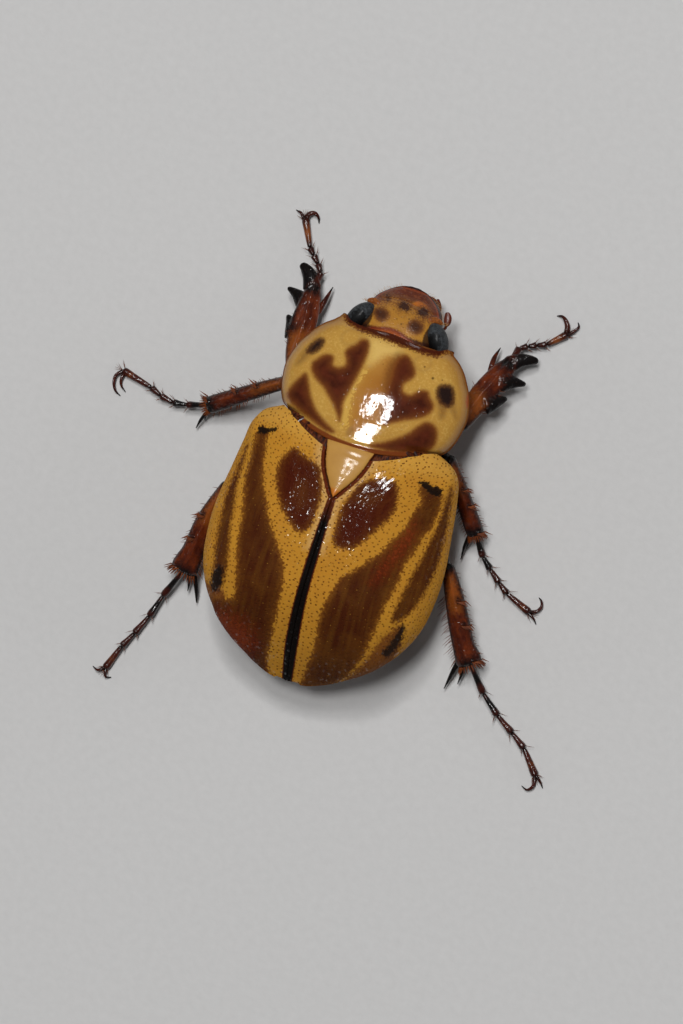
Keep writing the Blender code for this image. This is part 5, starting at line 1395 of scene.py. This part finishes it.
# Legs
# Six jointed legs of thick glossy cuticle that is red where light gets through it and black
# at knees, teeth and tips. Fore shins are toothed for digging and the rest carry spines.
LEGS = {
    "fore_left": {
        "femur": (
            (-1.75, 4.75, 2.05, 0.55, 0.45), (-2.8, 4.6, 2.2, 0.78, 0.5), (-3.9, 4.25, 2.4, 0.7, 0.46),
            (-4.85, 3.8, 2.52, 0.4, 0.4),
        ),
        "tibia": (
            (-4.72, 3.7, 2.55, 0.3, 0.3), (-4.98, 4.8, 2.1, 0.5, 0.3), (-5.04, 5.6, 1.8, 0.62, 0.3),
            (-5.1, 6.6, 1.5, 0.62, 0.3), (-5.22, 7.6, 1.15, 0.52, 0.28), (-5.26, 8.2, 0.98, 0.38, 0.25),
            (-5.2, 8.5, 0.92, 0.26, 0.22),
        ),
        "teeth": (
            (
                (-5.33, 8.15, 1.0, 0.5), (-5.65, 8.72, 0.85, 0.41), (-6.04, 9.08, 0.72, 0.29),
                (-6.39, 9.25, 0.6, 0.15),
            ),
            (
                (-5.3, 7.3, 1.15, 0.6), (-5.72, 7.54, 1.05, 0.44), (-6.1, 7.73, 0.95, 0.27),
                (-6.62, 7.9, 0.8, 0.09),
            ),
            (
                (-5.3, 5.6, 1.75, 0.6), (-5.56, 5.95, 1.6, 0.44), (-5.82, 6.28, 1.45, 0.27),
                (-6.11, 6.55, 1.3, 0.09),
            ),
        ),
        "web": (
            (-4.95, 4.4, 2.3, 0.4, 0.22), (-5.1, 5.2, 2.0, 0.46, 0.22), (-5.34, 5.9, 1.75, 0.44, 0.22),
            (-5.38, 6.8, 1.5, 0.42, 0.22), (-5.34, 7.9, 1.15, 0.36, 0.22), (-5.36, 8.2, 1.02, 0.3, 0.2),
        ),
        "spurs": (((-4.7, 7.1, 1.05), (-4.57, 7.85, 0.82), (-4.45, 8.64, 0.5), 0.17),),
        "tarsus": (
            (-5.26, 9.12, 0.6), (-5.56, 9.52, 0.48), (-5.93, 9.88, 0.4), (-6.24, 10.19, 0.34),
            (-6.97, 11.57, 0.2),
        ),
        "claws": (
            (
                (-6.9, 11.45, 0.22, 0.15, 0.13), (-6.84, 11.8, 0.28, 0.14, 0.12),
                (-6.57, 11.95, 0.28, 0.11, 0.1), (-6.34, 11.8, 0.2, 0.07, 0.07),
                (-6.24, 11.53, 0.07, 0.02, 0.02),
            ),
            (
                (-7.0, 11.45, 0.2, 0.1, 0.1), (-7.24, 11.74, 0.24, 0.08, 0.08),
                (-7.59, 11.84, 0.08, 0.02, 0.02),
            ),
        ),
    },
    "fore_right": {
        "femur": (
            (1.75, 4.75, 2.05, 0.55, 0.45), (2.7, 4.55, 2.2, 0.78, 0.5), (3.6, 4.15, 2.4, 0.68, 0.46),
            (4.4, 3.7, 2.52, 0.4, 0.4),
        ),
        "tibia": (
            (4.25, 3.6, 2.55, 0.32, 0.3), (4.45, 4.7, 2.15, 0.55, 0.3), (4.64, 5.4, 1.9, 0.62, 0.3),
            (4.98, 6.35, 1.55, 0.62, 0.3), (5.21, 7.0, 1.3, 0.54, 0.28), (5.42, 7.5, 1.1, 0.44, 0.25),
            (5.47, 7.9, 1.0, 0.28, 0.22),
        ),
        "teeth": (
            (
                (5.4, 7.5, 1.12, 0.48), (5.92, 7.93, 1.0, 0.36), (6.4, 8.1, 0.85, 0.26),
                (6.78, 8.17, 0.7, 0.14),
            ),
            (
                (5.2, 6.52, 1.5, 0.6), (5.68, 6.68, 1.4, 0.46), (6.07, 6.78, 1.25, 0.28),
                (6.58, 6.86, 1.05, 0.1),
            ),
            (
                (4.95, 5.2, 1.98, 0.6), (5.3, 5.42, 1.85, 0.45), (5.62, 5.64, 1.7, 0.28),
                (5.96, 5.88, 1.5, 0.09),
            ),
        ),
        "web": (
            (4.4, 4.1, 2.3, 0.36, 0.22), (4.55, 4.77, 2.1, 0.4, 0.22), (4.94, 5.35, 1.85, 0.4, 0.22),
            (5.06, 6.09, 1.6, 0.38, 0.22), (5.44, 7.05, 1.3, 0.34, 0.22), (5.66, 7.5, 1.1, 0.28, 0.2),
        ),
        "spurs": (((4.68, 6.85, 1.15), (4.6, 7.6, 0.88), (4.71, 8.27, 0.6), 0.17),),
        "tarsus": (
            (5.63, 8.52, 0.62), (6.0, 8.74, 0.48), (6.4, 8.93, 0.4), (6.86, 9.12, 0.34), (7.7, 9.95, 0.2),
        ),
        "claws": (
            (
                (7.62, 9.9, 0.22, 0.15, 0.13), (7.59, 10.28, 0.28, 0.14, 0.12),
                (7.41, 10.57, 0.28, 0.11, 0.1), (7.15, 10.73, 0.2, 0.07, 0.07),
                (6.87, 10.68, 0.07, 0.02, 0.02),
            ),
            (
                (7.72, 9.88, 0.2, 0.1, 0.1), (7.95, 10.18, 0.24, 0.08, 0.08),
                (8.12, 10.47, 0.18, 0.06, 0.06), (8.0, 10.69, 0.07, 0.02, 0.02),
            ),
        ),
    },
    "mid_left": {
        "femur": (
            (-1.7, 0.2, 1.3, 0.5, 0.42), (-2.6, 1.0, 1.7, 0.7, 0.46), (-3.7, 2.3, 2.5, 0.6, 0.42),
            (-4.7, 3.4, 3.15, 0.38, 0.36),
        ),
        "tibia": (
            (-4.5, 3.4, 3.15, 0.32, 0.27), (-5.9, 2.6, 2.4, 0.38, 0.27), (-7.3, 1.75, 1.65, 0.43, 0.3),
            (-8.35, 1.1, 1.07, 0.46, 0.32), (-8.6, 0.96, 0.95, 0.44, 0.3),
        ),
        "spurs": (
            ((-8.4, 0.95, 0.9), (-8.8, 0.2, 0.6), (-8.99, -0.36, 0.3), 0.12),
            ((-8.45, 0.9, 0.9), (-8.65, 0.5, 0.6), (-8.66, 0.15, 0.4), 0.1),
        ),
        "crests": (0.38, 0.62, 0.97),
        "tarsus": (
            (-9.75, 0.63, 0.56), (-10.5, 0.53, 0.44), (-11.23, 0.66, 0.38), (-11.85, 0.92, 0.33),
            (-13.58, 1.33, 0.2),
        ),
        "claws": (
            (
                (-13.5, 1.33, 0.2, 0.11, 0.1), (-13.82, 0.97, 0.26, 0.09, 0.09),
                (-13.81, 0.57, 0.25, 0.08, 0.08), (-13.62, 0.21, 0.16, 0.06, 0.06),
                (-13.31, 0.03, 0.06, 0.02, 0.02),
            ),
            (
                (-13.4, 1.3, 0.2, 0.1, 0.1), (-13.5, 0.9, 0.25, 0.08, 0.08),
                (-13.42, 0.57, 0.2, 0.06, 0.06), (-13.12, 0.3, 0.06, 0.02, 0.02),
            ),
        ),
    },
    "mid_right": {
        "femur": (
            (1.7, 0.1, 1.3, 0.5, 0.42), (2.55, 0.6, 1.75, 0.7, 0.46), (3.5, 1.4, 2.5, 0.6, 0.42),
            (4.35, 2.15, 3.2, 0.38, 0.36),
        ),
        "tibia": (
            (4.25, 2.2, 3.2, 0.29, 0.29), (4.95, 1.15, 2.5, 0.38, 0.29), (5.75, 0.0, 1.75, 0.43, 0.31),
            (6.35, -0.88, 1.17, 0.46, 0.33), (6.5, -1.1, 1.05, 0.44, 0.3),
        ),
        "spurs": (
            ((6.25, -0.95, 1.0), (6.1, -1.8, 0.65), (6.08, -2.56, 0.35), 0.12),
            ((6.3, -1.0, 1.0), (6.25, -1.5, 0.7), (6.2, -1.95, 0.45), 0.1),
        ),
        "crests": (0.42, 0.62, 0.97),
        "tarsus": (
            (7.15, -2.08, 0.6), (7.67, -2.55, 0.44), (8.29, -3.06, 0.38), (8.84, -3.46, 0.33),
            (10.25, -4.04, 0.2),
        ),
        "claws": (
            (
                (10.15, -4.02, 0.2, 0.11, 0.1), (10.54, -3.87, 0.26, 0.09, 0.09),
                (10.71, -3.59, 0.24, 0.08, 0.08), (10.63, -3.31, 0.16, 0.06, 0.06),
                (10.43, -3.16, 0.06, 0.02, 0.02),
            ),
            (
                (10.15, -4.05, 0.2, 0.1, 0.1), (10.5, -4.25, 0.2, 0.06, 0.06),
                (10.72, -4.5, 0.06, 0.02, 0.02),
            ),
        ),
    },
    "hind_left": {
        "femur": (
            (-1.9, -3.3, 1.15, 0.62, 0.42), (-3.2, -3.2, 1.35, 0.92, 0.5), (-4.8, -2.9, 1.95, 0.82, 0.48),
            (-6.15, -2.5, 2.65, 0.42, 0.4),
        ),
        "tibia": (
            (-6.05, -2.45, 2.65, 0.3, 0.3), (-6.48, -3.75, 2.2, 0.42, 0.32),
            (-6.74, -4.85, 1.85, 0.54, 0.35), (-6.92, -6.3, 1.45, 0.6, 0.38),
            (-7.12, -7.2, 1.18, 0.72, 0.4), (-7.17, -7.45, 1.1, 0.68, 0.36),
        ),
        "spurs": (
            ((-6.7, -7.2, 1.0), (-6.35, -8.1, 0.65), (-6.15, -8.83, 0.35), 0.15),
            ((-7.0, -7.3, 1.0), (-6.8, -7.9, 0.7), (-6.75, -8.4, 0.45), 0.11),
        ),
        "crests": (0.4, 0.64, 0.97),
        "tarsus": (
            (-7.88, -9.0, 0.56), (-8.26, -10.22, 0.42), (-8.73, -11.29, 0.37), (-9.15, -12.11, 0.33),
            (-9.66, -13.5, 0.2),
        ),
        "claws": (
            (
                (-9.62, -13.35, 0.2, 0.1, 0.1), (-9.97, -13.66, 0.24, 0.07, 0.07),
                (-10.32, -13.56, 0.07, 0.02, 0.02),
            ),
            (
                (-9.62, -13.35, 0.2, 0.1, 0.1), (-9.5, -13.86, 0.22, 0.06, 0.06),
                (-9.22, -13.81, 0.07, 0.02, 0.02),
            ),
        ),
    },
    "hind_right": {
        "femur": (
            (1.9, -3.3, 1.15, 0.62, 0.42), (3.1, -3.3, 1.35, 0.92, 0.5), (4.6, -3.25, 1.95, 0.82, 0.48),
            (5.9, -3.0, 2.65, 0.42, 0.4),
        ),
        "tibia": (
            (5.8, -2.95, 2.65, 0.32, 0.3), (6.5, -4.25, 2.2, 0.46, 0.32), (7.15, -5.55, 1.75, 0.55, 0.35),
            (7.7, -6.6, 1.4, 0.57, 0.38), (8.12, -7.2, 1.18, 0.66, 0.4), (8.27, -7.4, 1.1, 0.62, 0.36),
        ),
        "spurs": (
            ((7.75, -6.95, 1.0), (7.5, -8.1, 0.65), (7.3, -9.03, 0.35), 0.16),
            ((8.0, -7.15, 1.0), (7.98, -7.9, 0.7), (7.9, -8.6, 0.45), 0.12),
        ),
        "crests": (0.36, 0.6, 0.97),
        "tarsus": (
            (9.3, -8.62, 0.56), (10.32, -9.46, 0.42), (11.28, -10.06, 0.37), (12.09, -10.61, 0.33),
            (13.1, -11.8, 0.2),
        ),
        "claws": (
            (
                (13.02, -11.68, 0.2, 0.11, 0.1), (13.12, -12.27, 0.24, 0.09, 0.09),
                (12.88, -12.56, 0.17, 0.06, 0.06), (12.54, -12.46, 0.06, 0.02, 0.02),
            ),
            (
                (13.02, -11.68, 0.2, 0.1, 0.1), (13.4, -11.98, 0.2, 0.06, 0.06),
                (13.6, -12.25, 0.06, 0.02, 0.02),
            ),
        ),
    },
}
TARSAL_SHAPE = ((0.0, 0.1), (0.2, 0.12), (0.6, 0.155), (0.86, 0.19), (0.97, 0.17), (1.03, 0.1))
LAST_SHAPE = ((0.0, 0.11), (0.25, 0.145), (0.65, 0.18), (0.9, 0.205), (1.0, 0.16))

leg_finish, tree, shader = finish(
    "thick_red_cuticle", Roughness=0.4, IOR=1.56, Specular_IOR_Level=0.1, Coat_Weight=0.6,
    Coat_Roughness=0.08, Subsurface_Weight=0.12, Subsurface_Scale=0.2 * MM,
    Subsurface_Radius=(1.0, 0.35, 0.1),
)
place = in_millimetres(tree)
lengthways = add(tree, "Attribute", out="Vector", attribute_name="limb_mm")
streak = drawn_out(tree, lengthways, (0.3, 1.2, 1.0))
fine, grain = fine_grain(tree, place, 0.12)
cloud = add(tree, "TexNoise", {"Vector": place, "Scale": 1 / 0.8, "Detail": 3.0})
blend = add(tree, "Math", {0: streak, 1: cloud}, operation="MULTIPLY")
blend = add(tree, "MapRange", {"Value": blend, "From Min": 0.14, "From Max": 0.38})
red = add(tree, "Mix", {0: blend, 6: linear("#3A1006"), 7: linear("#702E0E")}, 2, data_type="RGBA")
coloured = inked(
    tree, red,
    (
        ("tarsal", "#38110A", 0.85, 0.2, 0.1, 0.0),
        ("amber", "#94501A", 0.6, 0.9, 0.4, -0.1),
        ("dark", "#2A0D07", 0.9, 0.4, 0.2, 0.1),
        ("dark", "#0B0605", 1.0, 0.3, 0.12, -0.06),
    ),
    grain,
)
_, height = dented(tree, place, fine, 0.6, 0.17, (0.08, 0.3))
dress(tree, shader, coloured, height, 0.014, 0.8)
ripple = add(tree, "TexNoise", {"Vector": place, "Scale": 1 / 0.26, "Detail": 2.0})
ripple = add(tree, "Math", {0: ripple, 1: 6.0, 2: height}, operation="MULTIPLY_ADD")
lift = add(tree, "Bump", {"Height": ripple, "Distance": 0.014 * MM, "Strength": 1.0})
tree.links.new(lift, shader.inputs["Coat Normal"])

bristle_finish, tree, shader = finish("amber_bristle", Roughness=0.45, IOR=1.55, Specular_IOR_Level=0.2)
amber, _ = clouded(tree, in_millimetres(tree), ("#84400F", "#38140A"), 0.4, 2.0)
tree.links.new(amber, shader.inputs["Base Color"])


def by_limb(points, rows):
    """The distance along a limb of each point and how far it lies aside, and the limb's half
    width there and whole length."""
    table = measured(rows)
    at = np.linspace(0, table[-1, 0], 60)
    found = follow(table, at)
    nearest = np.square(points[:, None] - found[:, :3]).sum(axis=-1).argmin(axis=1)
    aside = np.cross(np.gradient(found[:, :3], axis=0), (0, 0, 1))
    aside /= np.linalg.norm(aside, axis=1, keepdims=True)
    offset = ((points - found[nearest, :3]) * aside[nearest]).sum(axis=1)
    return at[nearest], offset, found[nearest, 3], table[-1, 0]


def leg_piece(name, parts, node, rows, dark_at, margins, amber, tarsal=False, end=-1.0):
    """One leg length. dark_at holds points and radii round which the cuticle is black, margins
    the breadth of black along its left and right edges, end the breadth at its end, and amber
    the shares where it is paler."""
    obj = new_piece(name, *joined(parts), leg_finish)
    points = vectors(obj.data.vertices, "co")
    along, offset, wide, length = by_limb(points, rows)
    dark = [radius - np.linalg.norm(points - np.array(spot), axis=1) for spot, radius in dark_at]
    dark += [hand * offset - wide + breadth for hand, breadth in zip((-1, 1), margins)]
    dark.append(along - length + end)
    paint(obj, "dark", np.maximum.reduce(dark))
    paint(obj, "amber", np.minimum(along - amber[0] * length, amber[1] * length - along))
    paint(obj, "tarsal", 1.0 if tarsal else -1.0)
    paint(obj, "limb_mm", np.column_stack((offset, along, 0 * along)), size=3)
    settle(obj, "leg_chitin", node)


def spike(base, bend, tip, radius):
    """A curved, pointed spur."""
    rows = ((*base, radius, radius), (*bend, 0.75 * radius, 0.75 * radius), (*tip, 0.02, 0.02))
    return limb_part(rows, sides=14, step=0.08, ends=(0.5, 0.5))


def blade(rows):
    """A flat curved tooth through rows of x, y, z and half width."""
    return limb_part([(*row, 0.45 * row[3] + 0.05) for row in rows], sides=24, step=0.05, ends=(0.5, 1.0))


def frame_on(rows, share):
    """The centre, direction, side and sizes of a limb at this share of its length."""
    table = measured(rows)
    at = share * table[-1, 0]
    spot = follow(table, np.array((at,)))[0]
    ahead, behind = follow(table, np.array((at + 0.05, at - 0.05)))[:, :3]
    way = table[-1, 1:4] - table[-2, 1:4] if share > 0.99 else ahead - behind
    way /= np.linalg.norm(way)
    side = np.cross(way, (0, 0, 1))
    side /= np.linalg.norm(side)
    return spot[:3], way, side, np.cross(side, way), spot[3], spot[4]


# Each leg: the thigh, then the shin with its teeth or its rows of spines, then the foot.
KNEE_DARK = 0.5
THORN_RING = 26
CREST_THORNS = 6
SHORT_SETAE = 26
SHIN_RADIUS = 0.022
SHORT_RADIUS = 0.012
FOOT_RADIUS = 0.016
TOE_RADIUS = 0.014
dice = random.Random(7)
bristles = []
for leg, sizes in LEGS.items():
    side = -1 if leg.endswith("left") else 1
    outward = -side
    femur, tibia = sizes["femur"], sizes["tibia"]
    knee = tibia[0][:3]
    fore = leg.startswith("fore")
    thigh = [limb_part(femur, sides=28)]
    leg_piece(f"{leg}_thigh", thigh, f"{leg}_femur", femur, [(knee, 0.62)], (0.05, 0.05), (0.1, 0.9))

    body = [limb_part(tibia, sides=48, step=0.05, ends=(1.0, 0.35), keel=0.4 if fore else 0.22)]
    dark_at = [(knee, KNEE_DARK)]
    thorns = []
    if fore:
        body += [blade(tooth) for tooth in sizes["teeth"]] + [limb_part(sizes["web"], sides=32, step=0.05)]
        body = [fused(body, 0.033, 4)]
        for tooth in sizes["teeth"]:
            dark_at += [(row[:3], 0.4) for row in tooth[1:]]
        dark_at.append((sizes["teeth"][0][0][:3], 0.45))
    else:
        centre = frame_on(tibia, 1.0)[0]
        dark_at.append((centre, 0.6))
        for share in sizes["crests"]:
            spot, way, aside, rise, wide, thick = frame_on(tibia, share)
            out = outward * aside
            edge = spot + out * wide
            dark_at += [(edge, 0.16), (spot + out * wide * 0.5 + rise * thick * 0.8, 0.14)]
            crest = (
                (*(spot + out * wide * 0.15 + rise * thick - way * 0.1), 0.05, 0.05),
                (*(spot + out * wide * 0.6 + rise * thick * 0.78), 0.075, 0.07),
                (*(edge + way * 0.12 - out * 0.04), 0.07, 0.07),
            )
            body.append(limb_part(crest, sides=12, step=0.04))
            for k in range(CREST_THORNS):
                across = 0.25 + 0.15 * k
                root = spot + out * wide * across + rise * thick * math.sqrt(1 - min(across, 1) ** 2)
                root = root + way * 0.12 * across
                lean = way * dice.uniform(0.5, 0.8) + out * dice.uniform(0.5, 0.9) + rise * 0.3
                tip = root + lean * dice.uniform(0.28, 0.48)
                thorns.append(((*root, 0.042, 0.042), (*tip, 0.006, 0.006)))
        for k in range(THORN_RING):
            turned = 2 * math.pi * k / THORN_RING
            rim = centre + aside * wide * 0.85 * math.cos(turned) + rise * thick * 0.85 * math.sin(turned)
            tip = rim + way * dice.uniform(0.24, 0.4) + (rim - centre) * 0.35
            thorns.append(((*rim, 0.05, 0.05), (*tip, 0.012, 0.012)))
    spurs = [spike(*spur) for spur in sizes["spurs"]]
    for _, bend, tip, _ in sizes["spurs"]:
        dark_at += [(tip, 0.35 if fore else 0.5), (bend, 0.1 if fore else 0.4)]
    outer_dark, inner_dark, end = (0.06, -0.7, -1.0) if fore else (0.12, 0.1, 0.16)
    margins = (outer_dark, inner_dark) if side < 0 else (inner_dark, outer_dark)
    leg_piece(f"{leg}_shin", body + spurs, f"{leg}_tibia", tibia, dark_at, margins, (0.04, 0.48), end=end)
    if thorns:
        thorns = [limb_part(rows, sides=6, step=0.1, ends=(0, 0)) for rows in thorns]
        settle(new_piece(f"{leg}_thorns", *joined(thorns), bristle_finish), "leg_chitin")

    # Foot: five beads, each swollen at its end, and two hooked claws.
    shin_end, way = frame_on(tibia, 1.0)[:2]
    joints = [shin_end - 0.05 * way, *np.array(sizes["tarsus"])]
    beads, dark_at = [], []
    for k, (start, end) in enumerate(zip(joints, joints[1:])):
        shape = LAST_SHAPE if k == len(joints) - 2 else TARSAL_SHAPE
        rows = [(*(start + (end - start) * share), size, size) for share, size in shape]
        beads.append(limb_part(rows, sides=16, step=0.05, ends=(0.8, 0.8)))
        dark_at.append((end, 0.2))
        if k < 2 and not fore:
            dark_at.append(((start + end) / 2, 0.42))
        forward = (end - start) / np.linalg.norm(end - start)
        flat = np.cross(forward, (0, 0, 1))
        flat /= np.linalg.norm(flat)
        for hand in (-1, 1):
            for reach, height in ((0.3, 0.05), (0.42, -0.05), (0.25, -0.12)):
                root = end - forward * 0.06 + hand * flat * 0.13
                lean = forward * dice.uniform(0.6, 1.0) + hand * flat * dice.uniform(0.5, 0.9)
                lean[2] += height
                bristles.append((root, lean, reach * dice.uniform(0.8, 1.2), FOOT_RADIUS))
    claws = [limb_part(rows, sides=12, step=0.05, ends=(0.5, 0.5)) for rows in sizes["claws"]]
    for rows in sizes["claws"]:
        dark_at.append((rows[-1][:3], 0.3))
    rows = [(*joint, 0.15, 0.15) for joint in joints]
    amber = (0.68, 0.9) if fore else (0.9, 0.9)
    leg_piece(f"{leg}_foot", beads + claws, f"{leg}_tarsus", rows, dark_at, (-1, -1), amber, tarsal=True)
    toe, before = joints[-1], joints[-2]
    forward = (toe - before) / np.linalg.norm(toe - before)
    for spread in (-0.5, -0.15, 0.2, 0.5):
        lean = forward + spread * np.cross(forward, (0, 0, 1)) + (0, 0, -0.1)
        bristles.append((toe + forward * 0.05, lean, 0.45, TOE_RADIUS))

    # Shins: long dark setae along the inner edge and shorter ones all over. Each row of them has
    # its first and last share of the shin, their count and length, and the side that it is on.
    long_reach = 0.62 if leg.startswith("hind") else 0.36
    edges = ((0.3, 0.97, 30, long_reach, side), (0.12, 0.97, 22, 0.3, outward))
    for first, last, count, reach, hand in edges:
        for k in range(count // 2 if fore else count):
            share = first + (last - first) * (k + dice.uniform(-0.4, 0.4)) / count
            spot, way, aside, rise, wide, thick = frame_on(tibia, share)
            tilt = dice.uniform(-0.9, 0.5)
            root = spot + hand * aside * wide * 0.93 * math.cos(tilt) + rise * thick * 0.9 * math.sin(tilt)
            lean = way * dice.uniform(0.35, 0.8) + hand * aside * dice.uniform(0.7, 1.0) + rise * tilt * 0.3
            bristles.append((root, lean, reach * dice.uniform(0.6, 1.15), SHIN_RADIUS))
    for k in range(SHORT_SETAE):
        share, turned = dice.uniform(0.15, 0.95), dice.uniform(0, math.pi)
        spot, way, aside, rise, wide, thick = frame_on(tibia, share)
        offset = aside * wide * math.cos(turned) + rise * thick * math.sin(turned)
        reach = dice.uniform(0.1, 0.22)
        bristles.append((spot + offset * 0.96, way + offset * 0.6, reach, SHORT_RADIUS))


# Hairs
# Fine bristles of the same tough stuff as the shell, each set in a pit: amber on the legs,
# pale and silky round the shield, the mouth and the belly.
HAIR_SAG = 0.12
HAIR_PATCH = 0.003
SILK_LEAN = np.array((0, -0.8, -0.2))
SILK_RADIUS = 0.011
FINE_HAIR = 0.009
FRINGE_HAIRS = 240
CLYPEUS_HAIRS = 26
CANTHUS_HAIRS = 14
MOUTH_HAIRS = 20


def coat(name, hairs, material, slot):
    """All the hairs of one kind as one mesh. A hair has its root, direction, length and radius.
    It is a three-sided tube of four rings that sags a little towards its tip."""
    roots, ways, lengths, radii = (np.array(column, float) for column in zip(*hairs))
    ways /= np.linalg.norm(ways, axis=1, keepdims=True)
    aside = np.cross(ways, (0.3, 0.2, 1.0))
    aside /= np.linalg.norm(aside, axis=1, keepdims=True)
    over = np.cross(aside, ways)
    at = np.array((-0.05, 0.35, 0.7, 1.0))
    taper = np.array((1.0, 0.85, 0.55, 0.12))
    reach = lengths[:, None] * at
    centres = roots[:, None] + ways[:, None] * reach[..., None]
    centres[..., 2] -= HAIR_SAG * lengths[:, None] * at**2
    turned = 2 * np.pi * np.arange(3)[None, :, None] / 3
    spokes = aside[:, None, :] * np.cos(turned) + over[:, None, :] * np.sin(turned)
    points = centres[:, :, None] + spokes[:, None] * (radii[:, None] * taper)[:, :, None, None]
    one = np.array(tube_faces(4, 3)[:-2])
    ends = np.array(((0, 1, 2), (11, 10, 9)))
    start = 12 * np.arange(len(hairs))[:, None, None]
    faces = (start + one).reshape(-1, 4).tolist() + (start + ends).reshape(-1, 3).tolist()
    obj = new_piece(name, points, faces, material)
    layer = obj.data.uv_layers.new(name="OFBake")
    corner = np.empty(len(obj.data.loops), int)
    obj.data.loops.foreach_get("vertex_index", corner)
    hair, ring, spoke = corner // 12, corner % 12 // 3, corner % 3
    patch = HAIR_PATCH * np.column_stack((ring / 3 - 0.5, spoke / 2 - 0.5))
    layer.data.foreach_set("uv", ((roots[hair, :2] + 15) / 30 + patch).ravel())
    settle(obj, slot)


pale_finish, tree, shader = finish("pale_hair", Roughness=0.4, IOR=1.55)
pale, _ = clouded(tree, in_millimetres(tree), ("#C79A55", "#8A5A24"), 0.3, 2.0)
tree.links.new(pale, shader.inputs["Base Color"])

coat("leg_bristles", bristles, bristle_finish, "leg_chitin")

silky = []
plates = (
    (hind_breast, 420, 0.34, "metathorax"),
    (fore_breast, 420, 0.36, "prosternum"),
    (belly, 260, 0.24, "abdomen"),
    (tail_plate, 90, 0.22, "pygidium"),
)
for obj, count, reach, _ in plates:
    points, normals = vectors(obj.data.vertices, "co"), vectors(obj.data.vertices, "normal")
    if obj is tail_plate:
        bare = (normals[:, 1] >= -0.3) | (points[:, 2] >= 2.6)
    else:
        bare = (normals[:, 2] >= 0.1) | (points[:, 2] >= 3.9) | (np.abs(points[:, 0]) <= 0.5)
    hairy = np.flatnonzero(~bare).tolist()
    for k in dice.sample(hairy, min(count, len(hairy))):
        way = normals[k] + SILK_LEAN * dice.uniform(0.6, 1.2)
        silky.append((points[k], way, reach * dice.uniform(0.6, 1.3), SILK_RADIUS))
for obj, _, _, node in plates:
    settle(obj, "underside_chitin", node)
settle(crease_skin, "underside_chitin")
coat("belly_hairs", silky, pale_finish, "underside_chitin")

# A fringe under the rear edge of the shield, and hairs round the clypeus, the canthus and the mouth.
fringe = []
for k in range(FRINGE_HAIRS):
    x_share = dice.uniform(-0.92, 0.92)
    y = PRONOTUM_REAR + PRONOTUM_REAR_SWEEP * x_share**2 + 0.05
    half, margin, top = follow(PRONOTUM, np.array((y,)))[0]
    z = margin + (top - margin) * (1 - abs(x_share) ** PRONOTUM_ARCH) ** (1 / PRONOTUM_ARCH) - 0.14
    way = (dice.uniform(-0.35, 0.35), -1.0, dice.uniform(-0.15, 0.2))
    fringe.append(((half * x_share, y, z), way, dice.uniform(0.22, 0.42), FINE_HAIR))
for side in (-1, 1):
    for k in range(CLYPEUS_HAIRS):
        y = 8.55 + 1.1 * k / CLYPEUS_HAIRS
        half, top, under = follow(HEAD, np.array((y,)))[0]
        way = (side * dice.uniform(0.5, 1.0), dice.uniform(0.3, 1.0), dice.uniform(-0.5, 0.1))
        fringe.append(((side * half * 0.97, y, (top + under) / 2), way, dice.uniform(0.15, 0.32), 0.01))
    for k in range(CANTHUS_HAIRS):
        way = (side * dice.uniform(0.4, 1.0), dice.uniform(0.4, 1.0), dice.uniform(-0.2, 0.3))
        fringe.append(((side * dice.uniform(1.7, 2.2), 8.32, 3.88), way, dice.uniform(0.15, 0.3), FINE_HAIR))
    for k in range(MOUTH_HAIRS):
        way = (side * dice.uniform(0.2, 1.0), dice.uniform(0.2, 1.0), dice.uniform(-0.6, 0.2))
        fringe.append(((side * dice.uniform(0.8, 1.3), dice.uniform(8.3, 9.3), 2.0), way, 0.25, FINE_HAIR))
coat("edge_hairs", fringe, pale_finish, "head_chitin")
